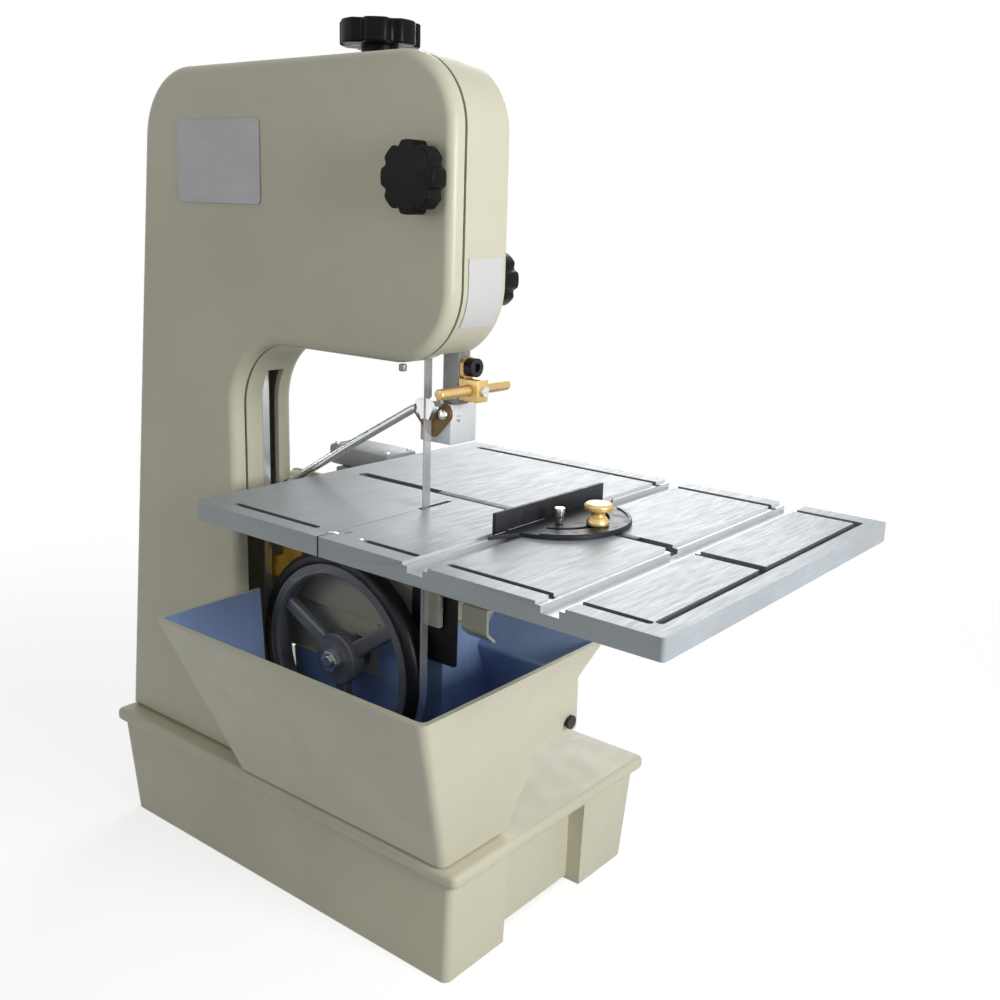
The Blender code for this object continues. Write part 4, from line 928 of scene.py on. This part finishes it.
def build_lower_wheel():
    wheel("lower_wheel", LOWER_Z, SHAFT_R + GAP)
    tyre("lower_tyre", LOWER_Z)
    shaft = cylinder((WHEEL_X, -0.0024, LOWER_Z), "Y", SHAFT_R, 0.1038, "shaft", 32)
    stub = cylinder((WHEEL_X, -0.0590, LOWER_Z), "Y", STUB_R, 0.010, "shaft_stub", 20)
    part("lower_shaft", join(shaft, stub), "steel")
    hub_nut("lower_hub_nut", -0.0615, HUB_Y[0] - GAP, LOWER_Z, STUB_R + GAP)
    bearing("lower_bearing_front", -0.0272, -0.0180, LOWER_Z, BEARING_R, SHAFT_R + GAP)
    bearing("lower_bearing_rear", 0.0205, 0.0297, LOWER_Z, BEARING_R, SHAFT_R + GAP)


def build_upper_wheel():
    wheel("upper_wheel", UPPER_Z, 0.0143)
    tyre("upper_tyre", UPPER_Z)
    bearing("upper_bearing", -0.0540, -0.0415, UPPER_Z, 0.0140, 0.0063)
    axle = cylinder((WHEEL_X, -0.04715, UPPER_Z), "Y", 0.0060, 0.0337, "axle", 24)
    part("upper_axle", axle, "steel")
    hub_nut("upper_hub_nut", -0.0610, HUB_Y[0], UPPER_Z, 0.0063)


def build_tension():
    block = box((WHEEL_X - SLIDE_HALF, -0.0300, UPPER_Z - SLIDE_HALF),
                (WHEEL_X + SLIDE_HALF, 0.0060, UPPER_Z + SLIDE_HALF), "slide_block", 0.001)
    thread = cylinder((WHEEL_X, SCREW_Y, UPPER_Z + 0.012), "Z", 0.0043, 0.024, "slide_thread", 16)
    part("tension_slide", cut(block, thread), "cast_metal")
    turns = 5
    points = []
    for k in range(turns * 27 + 1):
        angle = math.tau * k / 27
        height = LUG_Z[1] + 0.0016 + 0.0344 * k / (turns * 27)
        points.append((WHEEL_X + 0.0070 * math.cos(angle), SCREW_Y + 0.0070 * math.sin(angle),
                       height))
    part("tension_spring", tube(points, 0.0012, "spring", 3), "dark_steel")


# ---- blade --------------------------------------------------------------------------------------
def loop_outline(radius):
    upper = arc((WHEEL_X, UPPER_Z), radius, 0, 180, 24)
    lower = arc((WHEEL_X, LOWER_Z), radius, 180, 360, 24)
    return upper + lower


def build_blade():
    band = plate([loop_outline(BLADE_R + BLADE_THICK), loop_outline(BLADE_R)], "XZ",
                 WHEEL_Y - BLADE_HALF, WHEEL_Y + BLADE_HALF, "band")
    part("saw_blade", band, "bright_steel")


# ---- drive --------------------------------------------------------------------------------------
def pulley(name, x, z, pitch, bore):
    low, high = PULLEY_Y
    middle = (low + high) / 2
    half = (high - low) / 2
    profile = [(bore, -half), (bore, half), (pitch + 0.0045, half), (pitch + 0.0045, 0.0048),
               (pitch - 0.0036, 0.0044), (pitch - 0.0036, -0.0044), (pitch + 0.0045, -0.0048),
               (pitch + 0.0045, -half)]
    part(name, turned(profile, (x, middle, z), "Y", name, 32, True), "cast_metal")


def belt_outline(offset):
    """The loop of a belt round the two pulleys, at an offset from its pitch line."""
    big = DRIVEN_R + offset
    small = DRIVER_R + offset
    span = Vector((MOTOR_X - WHEEL_X, MOTOR_Z - LOWER_Z))
    lean = math.degrees(math.acos((big - small) / span.length))
    heading = math.degrees(math.atan2(span.y, span.x))
    around_big = arc((WHEEL_X, LOWER_Z), big, heading + lean, heading + 360 - lean, 24)
    around_small = arc((MOTOR_X, MOTOR_Z), small, heading - lean, heading + lean, 14)
    return around_big + around_small


def build_drive():
    pulley("driven_pulley", WHEEL_X, LOWER_Z, DRIVEN_R, SHAFT_R + GAP)
    pulley("motor_pulley", MOTOR_X, MOTOR_Z, DRIVER_R, 0.0070)
    belt = plate([belt_outline(BELT_HALF), belt_outline(-BELT_HALF)], "XZ", 0.0370, 0.0450, "belt")
    part("drive_belt", belt, "rubber")
    shaft = cylinder((MOTOR_X, 0.0495, MOTOR_Z), "Y", 0.0067, 0.0290, "motor_shaft", 24)
    part("motor_shaft", shaft, "steel")

    plate_body = box((-0.225, 0.0515, 0.166), (-0.089, 0.0557, 0.316), "motor_plate", 0.004, "Y")
    posts = [cylinder((x, 0.0411, z), "Y", 0.0055, 0.0216, "standoff", 16)
             for x, z in MOTOR_POSTS]
    opening = cylinder((MOTOR_X, 0.054, MOTOR_Z), "Y", 0.016, 0.02, "motor_plate_hole", 32)
    part("motor_plate", cut(join(plate_body, *posts), opening), "beige_paint")

    ribs = []
    for k in range(72):
        angle = math.tau * k / 72
        reach = 0.0535 if k % 4 < 2 else 0.0490
        ribs.append((MOTOR_X + reach * math.cos(angle), MOTOR_Z + reach * math.sin(angle)))
    body = plate([ribs], "XZ", 0.0650, 0.1150, "motor_ribs")
    front_bell = cylinder((MOTOR_X, 0.0610, MOTOR_Z), "Y", MOTOR_R, 0.0100, "front_bell", 40)
    rear_bell = cylinder((MOTOR_X, 0.1180, MOTOR_Z), "Y", MOTOR_R, 0.0080, "rear_bell", 40)
    pad = box((MOTOR_X - 0.026, 0.0700, MOTOR_Z), (MOTOR_X + 0.026, 0.1120, 0.3215), "pad", 0.002, "Y")
    bore = cylinder((MOTOR_X, 0.0600, MOTOR_Z), "Y", 0.0072, 0.0160, "motor_bore", 24)
    part("motor_body", cut(join(body, front_bell, rear_bell, pad), bore), "grey_paint")

    cowl = [(0.0, 0.0280), (0.0400, 0.0280), (0.0520, 0.0200), (0.0540, 0.0), (0.0524, 0.0),
            (0.0505, 0.0190), (0.0390, 0.0262), (0.0, 0.0262)]
    fan_cover = turned(cowl, FAN_AT, "Y", "cowl", 32)
    slots = []
    for k in range(8):
        slot = box((0.012, -0.002, 0.0), (0.036, 0.002, 0.06), "vent", 0.0015, "Z", 2)
        turn = Matrix.Rotation(math.tau * k / 8, 4, "Z")
        slot.data.transform(Matrix.Translation(FAN_AT) @ AXES["Y"] @ turn)
        slots.append(slot)
    part("motor_fan_cover", cut(fan_cover, *slots), "black_paint")

    lid = box((-0.196, 0.0720, 0.3219), (-0.118, 0.1120, 0.3415), "terminal", 0.004)
    part("terminal_box", lid, "grey_paint")


# ---- guide post and blade guides ----------------------------------------------------------------
def build_guide_post():
    post = box((POST_X[0], POST_Y[0], POST_Z[0]), (POST_X[1], POST_Y[1], POST_Z[1]), "post", 0.0008)
    part("guide_post", post, "steel")
    sleeve = box((0.0395, -0.0440, 0.476), (0.0640, -0.0253, 0.531), "sleeve", 0.001)
    channel = box((POST_X[0] - GAP, POST_Y[0] - GAP, 0.396), (POST_X[1] + GAP, -0.02, 0.596), "channel")
    part("post_guide", cut(sleeve, channel), "cast_metal")

    low, high = GUIDE_BLOCK_Z
    block = box((0.0230, GUIDE_Y, low), (0.0530, -0.0100, high), "guide_block", 0.0008)
    part("guide_block", block, "table_metal")

    mid = BLADE_X
    lobe = 0.0072
    reach = 0.0108
    heart = arc((mid + reach, 0.4160), lobe, -35, 95, 8) + arc((mid - reach, 0.4160), lobe, 85, 215, 8)
    heart += [Vector((mid - 0.003, 0.398)), Vector((mid + 0.003, 0.398))]
    part("guide_plate", plate([heart], "XZ", PLATE_Y, GUIDE_Y - GAP, "heart"), "brass")

    for side, sign in (("left", -1), ("right", 1)):
        edge = mid + sign * 0.0006
        far = mid + sign * 0.0098
        outline = [(edge, 0.4120), (edge, 0.4270)]
        outline += arc((edge + sign * 0.002, 0.4190), 0.0080, 90, 90 - sign * 75, 5)
        outline += [(far - sign * 0.001, 0.4220), (edge + sign * 0.0030, 0.4110)]
        jaw = plate([outline if sign > 0 else outline[::-1]], "XZ", -0.0497, PLATE_Y - GAP, "jaw")
        part("guide_jaw_" + side, jaw, "bright_steel")
        screw_x = mid + sign * reach
        profile = [(0.0, -0.0028), (0.0022, -0.0026), (0.0036, -0.0016), (0.0042, 0.0), (0.0, 0.0)]
        head = turned(profile, (screw_x, PLATE_Y - GAP, 0.4155), "Y", "pan_head", 20)
        part("jaw_screw_" + side, head, "bright_steel")


def build_rod_clamp():
    lug = box((0.0593, -0.0375, 0.442), (0.0625, -0.0255, 0.458), "clamp_lug", 0.004, "X", 3)
    block = box((0.0593, -0.0385, 0.427), (0.0770, -0.0265, 0.443), "clamp_block", 0.0006)
    hole = cylinder(ROD_AT, "Y", 0.0043, 0.03, "rod_hole", 24)
    part("rod_clamp", cut(join(lug, block), hole), "brass")
    rod = cylinder(ROD_AT, "Y", 0.0040, 0.0760, "rod", 24)
    part("brass_rod", soften(rod, 0.0012, 1), "brass")
    head = cylinder((0.0668, -0.0315, 0.4508), "X", 0.0068, 0.0080, "socket_head", 28)
    socket = plate([hexagon((-0.0315, 0.4508), 0.0060)], "YZ", 0.0665, 0.0720, "socket")
    part("clamp_screw", cut(soften(head, 0.0006, 1), socket), "black_paint")
    button = cylinder((0.0787, -0.0325, 0.435), "X", 0.0036, 0.0028, "slot_head", 24)
    slot = box((0.0792, -0.0400, 0.4345), (0.0810, -0.0250, 0.4355), "slot")
    part("rod_set_screw", cut(button, slot), "bright_steel")


def smooth_path(points, steps):
    """A curve through the given points."""
    spots = [Vector(p) for p in points]
    padded = [2 * spots[0] - spots[1]] + spots + [2 * spots[-1] - spots[-2]]
    path = []
    for a, b, c, d in zip(padded, padded[1:], padded[2:], padded[3:]):
        for k in range(steps):
            t = k / steps
            path.append(0.5 * (2 * b + (c - a) * t + (2 * a - 5 * b + 4 * c - d) * t * t
                               + (3 * b - a - 3 * c + d) * t ** 3))
    return path + [spots[-1]]


def build_coolant_tube():
    points = [(-0.1425, -0.0300, 0.3290), (-0.1360, -0.0300, 0.3290), (-0.1300, -0.0300, 0.3325),
              (-0.1150, -0.0300, 0.3420), (-0.0950, -0.0305, 0.3540), (-0.0500, -0.0315, 0.3800),
              (0.0000, -0.0328, 0.4080), (0.0110, -0.0333, 0.4140), (0.0180, -0.0342, 0.4165)]
    part("coolant_tube", tube(smooth_path(points, 6), 0.0034, "pipe", 6), "bright_steel")


# ---- table and what hangs below it --------------------------------------------------------------
def channel_cut(x0, x1, y0, y1, depth, name):
    """A shallow water channel with round ends, cut down from the table's top; its faces are coloured dark
    as painted shade.
    """
    ends = 0.98 * min(x1 - x0, y1 - y0) / 2
    shape = box((x0, y0, TABLE_TOP - depth), (x1, y1, TABLE_TOP + 0.01), name, ends, "Z", 4)
    return coat(shape, "groove_painted_shade")


def build_table():
    top = box((TABLE_X[0], TABLE_Y[0], TABLE_LOW), (TABLE_X[1], TABLE_Y[1], TABLE_TOP), "table_slab",
              0.003, "Z", 3)
    coat(top, "table_metal")
    cuts = []
    # the mitre grooves' faces are coloured paler: painted light on their lit walls
    for x in GROOVES_X:
        for half, depth in ((0.0105, 0.0022), (0.0065, 0.0065)):
            cuts.append(coat(box((x - half, TABLE_Y[0] - 0.01, TABLE_TOP - depth),
                                 (x + half, TABLE_Y[1] + 0.01, TABLE_TOP + 0.01), "groove"), "groove_painted_light"))
    cuts.append(channel_cut(-0.074, 0.292, SLOT_Y - 0.00475, SLOT_Y + 0.00475, 0.0055, "cross_slot"))
    for x0, x1 in ((-0.068, 0.022), (0.066, 0.115), (0.140, 0.222), (0.240, 0.288)):
        cuts.append(channel_cut(x0, x1, -0.1410, -0.1360, 0.003, "front_channel"))
    cuts.append(channel_cut(0.2875, 0.2930, -0.1370, 0.1510, 0.0032, "end_channel"))
    cuts.append(channel_cut(-0.075, 0.2925, 0.1450, 0.1510, 0.0028, "rear_channel"))
    # the blade way's faces also carry the painted shade
    slot_x = TABLE_PIN[0]
    for half, y0, y1 in ((0.0022, -0.0540, -0.0200), (0.00025, -0.1470, -0.0530),
                         (0.0008, -0.1600, -0.1460)):
        cuts.append(coat(box((slot_x - half, y0, 0.296), (slot_x + half, y1, 0.396), "blade_way"),
                         "groove_painted_shade"))
    cuts.append(cylinder((*TABLE_PIN, TABLE_TOP), "Z", 0.0045, 0.0060, "pin_seat", 24))
    cuts.append(cylinder((*TABLE_PEG, TABLE_TOP), "Z", 0.0028, 0.0100, "small_hole", 16))
    part("table", cut(top, *cuts), "table_metal")
    pin = [(0.0, 0.0), (0.0030, 0.0), (0.0042, -0.0005), (0.0043, -0.0028), (0.0, -0.0028)]
    peg = [(0.0, 0.0), (0.0018, 0.0), (0.0026, -0.0004), (0.0026, -0.0045), (0.0, -0.0045)]
    for name, profile, at in (("table_pin", pin, TABLE_PIN), ("table_peg", peg, TABLE_PEG)):
        stud = turned(profile, (*at, TABLE_TOP + 0.0001), "Z", "stud", 24)
        extra(name, stud, "bright_steel", "root", 0.0)


def build_table_bracket():
    low = LOWER_ARM_Z[1] + GAP
    high = TABLE_LOW - GAP
    pad = box((-0.090, -0.020, low), (0.200, 0.060, high), "bracket_pad", 0.004, "Z", 3)
    web_outline = [(0.0375, 0.2560), (0.0500, 0.2560), (0.1900, low + 0.004), (0.1900, high - 0.001),
                   (0.0375, high - 0.001)]
    web = plate([web_outline], "XZ", 0.0150, 0.0230, "bracket_web")
    part("table_bracket", join(pad, web), "beige_paint")


def build_lower_guide():
    top = TABLE_LOW - GAP
    bar = box((0.0300, -0.0388, 0.249), (0.0455, -0.0338, top), "guide_bar", 0.0012)
    foot = box((0.0300, -0.0388, top - 0.006), (0.0700, -0.0205, top), "guide_foot", 0.001)
    shelf = box((0.0440, -0.0388, 0.276), (0.0960, -0.0215, 0.281), "guide_shelf", 0.001)
    stem = box((0.0600, -0.0300, 0.280), (0.0680, -0.0250, top - 0.001), "guide_stem", 0.001)
    part("lower_guide_bracket", join(bar, foot, shelf, stem), "beige_paint")
    outer = rounded([(-0.0400, 0.2757, 0), (-0.0400, 0.256, 0.006), (-0.0300, 0.248, 0.004),
                     (-0.0290, 0.248, 0), (-0.0290, 0.250, 0), (-0.0376, 0.257, 0.004),
                     (-0.0376, 0.2733, 0.0), (-0.0220, 0.2733, 0), (-0.0220, 0.2757, 0)], 4)
    part("drain_spout", plate([outer], "YZ", 0.0690, 0.0930, "spout"), "beige_paint")
    # painted shade: the black flap is a dark sheet put where the arm's end lies in shade
    flap = box((0.0110, -0.0322, 0.218), (0.0575, -0.0304, 0.2752), "flap", 0.003, "Y", 2)
    part("splash_flap", flap, "rubber")


def build_scraper():
    outline = [(-0.1330, 0.296), (-0.1330, 0.270), (-0.1560, 0.260), (-0.1560, 0.248),
               (-0.1100, 0.248), (-0.1100, 0.296)]
    body = plate([outline], "XZ", -0.0385, -0.0335, "scraper")
    stem = box((-0.1320, -0.0345, 0.272), (-0.1200, -0.0298, 0.292), "scraper_stem")
    round_off = cylinder((WHEEL_X, -0.036, LOWER_Z), "Y", BLADE_R + 0.0012, 0.02, "scraper_round", 64)
    part("wheel_scraper", cut(join(body, stem), round_off), "yellow_plastic")


# ---- mitre gauge --------------------------------------------------------------------------------
def build_mitre():
    bar = box((0.013, SLOT_Y - 0.0045, TABLE_TOP - 0.0052), (0.195, SLOT_Y + 0.0045, TABLE_TOP + 0.0002),
              "mitre_bar", 0.0006)
    part("mitre_bar", bar, "black_paint")
    low = TABLE_TOP + 0.0006
    high = low + 0.0028
    half_disc = arc((MITRE_X, SLOT_Y), 0.0550, -68, 68, 18)
    outline = [Vector((MITRE_X - 0.0002, -0.0740)), Vector((MITRE_X + 0.0005, -0.0825)),
               Vector((MITRE_X + 0.010, -0.0600))]
    outline += half_disc
    outline += [Vector((MITRE_X + 0.010, 0.0510)), Vector((MITRE_X + 0.002, 0.0680)),
                Vector((MITRE_X - 0.0002, 0.0640))]
    head = plate([outline], "XY", low, high, "mitre_base")
    slot_outer = arc((MITRE_X, SLOT_Y), 0.0389, -64, 64, 16)
    slot_inner = arc((MITRE_X, SLOT_Y), 0.0342, 64, -64, 16)
    arc_slot = plate([slot_outer + slot_inner], "XY", low - 0.01, low + 0.02, "mitre_slot")
    head = cut(head, arc_slot)
    part("mitre_head", head, "black_paint")
    fence = box((MITRE_X - 0.0045, -0.0720, low), (MITRE_X - 0.0005, 0.0580, TABLE_TOP + 0.0168),
                "mitre_fence", 0.0008)
    part("mitre_fence", fence, "black_paint")
    pin_at = (MITRE_X + 0.0162, SLOT_Y - 0.0179)
    taper = cylinder((*pin_at, high + 0.0061), "Z", 0.0026, 0.0116, "pin", 24, 0.0038)
    part("mitre_pin", soften(taper, 0.0006, 1), "bright_steel")
    profile = [(0.0, 0.0155), (0.0085, 0.0155), (0.0102, 0.0142), (0.0104, 0.0125), (0.0101, 0.0108),
               (0.0070, 0.0098), (0.0050, 0.0085), (0.0050, 0.0065), (0.0078, 0.0032), (0.0083, 0.0010),
               (0.0080, 0.0), (0.0020, 0.0), (0.0020, -0.0031), (0.0, -0.0031)]
    knob_at = (MITRE_X + 0.0365, SLOT_Y, high + 0.0003)
    part("mitre_knob", turned(profile, knob_at, "Z", "brass_knob", 24), "brass")


# ---- switch -------------------------------------------------------------------------------------
def build_switch():
    case = box((-0.245, FRAME_REAR + GAP, 0.391), (-0.185, 0.012, 0.461), "switch_case", 0.004)
    well = box((-0.229, 0.002, 0.410), (-0.201, 0.02, 0.442), "switch_well")
    part("switch_box", cut(case, well), "black_plastic")
    profile = rounded([(0.0045, 0.411, 0.002), (0.0160, 0.412, 0.001), (0.0135, 0.426, 0.006),
                       (0.0160, 0.440, 0.001), (0.0045, 0.441, 0.002)], 3)
    rocker = plate([profile], "YZ", -0.2284, -0.2016, "rocker")
    pivot = Vector((-0.215, 0.0075, 0.426))
    tilt = Matrix.Rotation(math.radians(-8), 4, "X")
    rocker.data.transform(Matrix.Translation(pivot) @ tilt @ Matrix.Translation(-pivot))
    part("switch_rocker", rocker, "black_plastic")
    gland = cylinder((-0.215, -0.005, 0.3845), "Z", 0.0070, 0.0124, "gland", 6)
    throat = cylinder((-0.215, -0.005, 0.375), "Z", 0.0052, 0.0080, "gland_nose", 20)
    mouth = cylinder((-0.215, -0.005, 0.372), "Z", 0.0034, 0.0120, "gland_mouth", 20)
    part("cable_gland", cut(join(gland, throat), mouth), "black_plastic")


# ---- small fittings -----------------------------------------------------------------------------
def merged(items, name):
    """Several shapes as one object."""
    bm = bmesh.new()
    for item in items:
        item = baked(item)
        bm.from_mesh(item.data)
        bpy.data.objects.remove(item, do_unlink=True)
    return add(name, mesh_of(bm, name), CUTTERS)


def screw_head(seat, axis, radius, high, slotted=False):
    """A cap screw's head with its socket, or a low pan head with a slot; high may be negative."""
    sign = 1 if high > 0 else -1
    tall = abs(high)
    if slotted:
        profile = [(0.0, 0.0), (radius, 0.0), (radius * 0.96, tall * 0.45), (radius * 0.75, tall * 0.85),
                   (0.0, tall)]
    else:
        profile = [(0.0, 0.0), (radius, 0.0), (radius, tall * 0.88), (radius * 0.9, tall),
                   (radius * 0.58, tall), (radius * 0.52, tall * 0.4), (0.0, tall * 0.3)]
    head = turned([(x, z * sign) for x, z in profile], seat, axis, "screw_head", 16)
    if slotted:
        half = radius * 1.2
        low = [c - half for c in seat]
        high_corner = [c + half for c in seat]
        index = "XYZ".index(axis)
        thin = (index + 1) % 3
        low[thin], high_corner[thin] = seat[thin] - radius * 0.14, seat[thin] + radius * 0.14
        ends = sorted((seat[index] + sign * tall * 0.45, seat[index] + sign * tall * 2))
        low[index], high_corner[index] = ends
        head = cut(head, box(low, high_corner, "screw_slot"))
    return head


def build_fittings():
    plate_rear = 0.0557
    heads = [screw_head((x, plate_rear, z), "Y", 0.0048, 0.0048)
             for x, z in MOTOR_POSTS]
    extra("motor_plate_screws", merged(heads, "heads"), "dark_steel", "root")
    heads = [screw_head((x, y, 0.3415), "Z", 0.0026, 0.0014, True)
             for x in (-0.190, -0.124) for y in (0.078, 0.106)]
    extra("terminal_screws", merged(heads, "heads"), "bright_steel", "root", 0.0)
    under = LOWER_ARM_Z[1] + GAP
    heads = [screw_head((x, y, under), "Z", 0.0046, -0.0046)
             for x in (0.080, 0.180) for y in (-0.011, 0.050)]
    extra("bracket_screws", merged(heads, "heads"), "dark_steel", "root")
    head = screw_head((0.0530, -0.0300, 0.4120), "X", 0.0027, 0.0014, True)
    extra("guide_block_screw", head, "bright_steel", "guide_carrier", 0.0)
    head = screw_head((0.0860, -0.0300, 0.2810), "Z", 0.0030, 0.0016, True)
    extra("shelf_screw", head, "bright_steel", "root", 0.0)


def build_mitre_marks():
    top = TABLE_TOP + 0.0034
    centre = (MITRE_X, SLOT_Y)
    rim = plate([arc(centre, 0.0546, -66, 66, 16) + arc(centre, 0.0522, 66, -66, 16)], "XY",
                top - 0.0004, top + 0.0009, "rim")
    extra("mitre_rim", rim, "black_paint", "mitre_head_body", 0.0003)
    ticks = []
    for k in range(-6, 7):
        long = 0.0020 if k % 3 else 0.0012
        tick = box((0.0493 + long * 0.4, -0.00014, top - 0.0003), (0.0517, 0.00014, top + 0.00008), "tick")
        tick.data.transform(Matrix.Translation((MITRE_X, SLOT_Y, 0))
                            @ Matrix.Rotation(math.radians(10 * k), 4, "Z"))
        ticks.append(tick)
    extra("mitre_ticks", merged(ticks, "ticks"), "scribe_and_highlight", "mitre_head_body", 0.0)
    # mitre_edge_highlight is a painted highlight: a pale strip along the disc's straight edge where light
    # catches it; the ear line is a printed index mark.
    for name, x0, x1, y0, y1 in (("mitre_edge_highlight", 0.0002, 0.0006, -0.0600, -0.0180),
                                 ("mitre_ear_line", 0.0012, 0.0018, -0.0760, -0.0650)):
        line = box((MITRE_X + x0, y0, top - 0.0003), (MITRE_X + x1, y1, top + 0.0001), "line")
        extra(name, line, "scribe_and_highlight", "mitre_head_body", 0.0)


def build_table_painted_shade():
    # Painted shade: a thin dark crescent painted on the table top.
    near = arc((0.0478, -0.1340), 0.0034, 100, 215, 6)
    far = arc((0.0478, -0.1340), 0.0026, 215, 100, 6)
    mark = plate([near + far], "XY", TABLE_TOP - 0.0004, TABLE_TOP + 0.00006, "mark")
    extra("table_painted_shade", mark, "crescent_shade", "root", 0.0)


def build_pieces():
    for build in (build_base, build_tray, build_drain_plug, build_frame, build_cover, build_cover_trim,
                  build_stud_knobs, build_tension_knob, build_lower_wheel,
                  build_upper_wheel, build_tension, build_blade, build_drive, build_guide_post,
                  build_rod_clamp, build_coolant_tube, build_table, build_table_bracket,
                  build_lower_guide, build_scraper, build_mitre, build_switch, build_fittings,
                  build_mitre_marks, build_table_painted_shade):
        build()
    for left in list(CUTTERS.objects):
        bpy.data.objects.remove(left, do_unlink=True)


# ---- studio -------------------------------------------------------------------------------------
CAMERA_AT = (0.5763, -0.6414, 0.5593)
CAMERA_FORWARD = (-0.5999, 0.7600, -0.2500)
CAMERA_RIGHT = (0.7793, 0.6258, 0.0323)
CAMERA_LENS = 40.33               # mm on a 36 mm wide sensor
FLOOR_SIZE = 8.0
AIM = (-0.02, 0.0, 0.33)          # what the lamps point at
AMBIENT = 0.24
FLOOR_GREY = 0.50
FLOOR_GLOW = 0.66
FLOOR_FADE = (0.55, 1.25)         # distance over which the floor runs out to white
LAMPS = (("key", (1.05, -0.12, 0.62), 9.8, 0.5),              # name, place, watts, size
         ("top", (0.10, -0.30, 1.90), 2.5, 1.5),
         ("front_fill", (-0.9, -1.7, 0.9), 4.0, 1.2),
         ("rear_fill", (-0.9, 1.7, 1.1), 14.0, 1.2))


def place_camera():
    forward = Vector(CAMERA_FORWARD).normalized()
    right = Vector(CAMERA_RIGHT)
    right = (right - forward * right.dot(forward)).normalized()
    up = right.cross(forward)
    data = bpy.data.cameras.new("photo_view")
    data.lens = CAMERA_LENS
    data.sensor_width = 36.0
    data.clip_end = 50.0
    camera = bpy.data.objects.new("photo_view", data)
    bpy.context.scene.collection.objects.link(camera)
    camera.matrix_world = Matrix((
        (right.x, up.x, -forward.x, CAMERA_AT[0]),
        (right.y, up.y, -forward.y, CAMERA_AT[1]),
        (right.z, up.z, -forward.z, CAMERA_AT[2]),
        (0, 0, 0, 1)))
    bpy.context.scene.camera = camera


def lamp(name, at, power, size):
    data = bpy.data.lights.new(name, "AREA")
    data.shape = "DISK"
    data.size = size
    data.energy = power
    item = bpy.data.objects.new(name, data)
    bpy.context.scene.collection.objects.link(item)
    item.location = at
    item.rotation_euler = (Vector(AIM) - Vector(at)).to_track_quat("-Z", "Y").to_euler()


def light_scene():
    for values in LAMPS:
        lamp(*values)


def background_factor(tree):
    """1 where a ray shows the background: seen by the camera, in a reflection or through glass."""
    path = tree.nodes.new("ShaderNodeLightPath")
    total = None
    for name in ("Is Camera Ray", "Is Glossy Ray", "Is Transmission Ray"):
        if total is None:
            total = path.outputs[name]
            continue
        node = tree.nodes.new("ShaderNodeMath")
        node.operation = "MAXIMUM"
        tree.links.new(total, node.inputs[0])
        tree.links.new(path.outputs[name], node.inputs[1])
        total = node.outputs[0]
    return total


def build_world():
    world = bpy.data.worlds.new("studio")
    bpy.context.scene.world = world
    world.use_nodes = True
    tree = world.node_tree
    ambient = tree.nodes["Background"]
    ambient.inputs["Color"].default_value = (0.97, 0.985, 1.0, 1.0)
    ambient.inputs["Strength"].default_value = AMBIENT
    shown = tree.nodes.new("ShaderNodeBackground")
    shown.inputs["Color"].default_value = (1.0, 1.0, 1.0, 1.0)
    mix = tree.nodes.new("ShaderNodeMixShader")
    tree.links.new(background_factor(tree), mix.inputs[0])
    tree.links.new(ambient.outputs[0], mix.inputs[1])
    tree.links.new(shown.outputs[0], mix.inputs[2])
    tree.links.new(mix.outputs[0], tree.nodes["World Output"].inputs["Surface"])


def build_floor():
    """A pale floor that keeps the shadow near the object and runs out to plain white."""
    bm = bmesh.new()
    bmesh.ops.create_grid(bm, x_segments=2, y_segments=2, size=FLOOR_SIZE / 2)
    floor = add("floor", mesh_of(bm, "floor"), bpy.context.scene.collection)
    floor.location.z = -0.0003
    n = Nodes("floor_white")
    n.set("Base Color", (FLOOR_GREY,) * 3)
    n.set("Roughness", 0.9)
    n.set("Specular IOR Level", 0.0)
    glow = n.add("ShaderNodeEmission")
    white = n.add("ShaderNodeEmission")
    glow.inputs["Strength"].default_value = FLOOR_GLOW
    lit = n.add("ShaderNodeAddShader")
    n.link(n.shader.outputs[0], lit.inputs[0])
    n.link(glow.outputs[0], lit.inputs[1])
    length = n.add("ShaderNodeVectorMath", operation="LENGTH")
    n.link(n.place, length.inputs[0])
    far = n.add("ShaderNodeMixShader")
    n.link(n.span(length.outputs["Value"], *FLOOR_FADE, 0.0, 1.0), far.inputs[0])
    n.link(lit.outputs[0], far.inputs[1])
    n.link(white.outputs[0], far.inputs[2])
    seen = n.add("ShaderNodeMixShader")
    n.link(background_factor(n.tree), seen.inputs[0])
    n.link(n.shader.outputs[0], seen.inputs[1])
    n.link(far.outputs[0], seen.inputs[2])
    n.link(seen.outputs[0], n.tree.nodes["Material Output"].inputs["Surface"])
    floor.data.materials.append(n.made)


build_pieces()
place_camera()
light_scene()
build_world()
build_floor()
bpy.context.scene.view_settings.view_transform = "Standard"
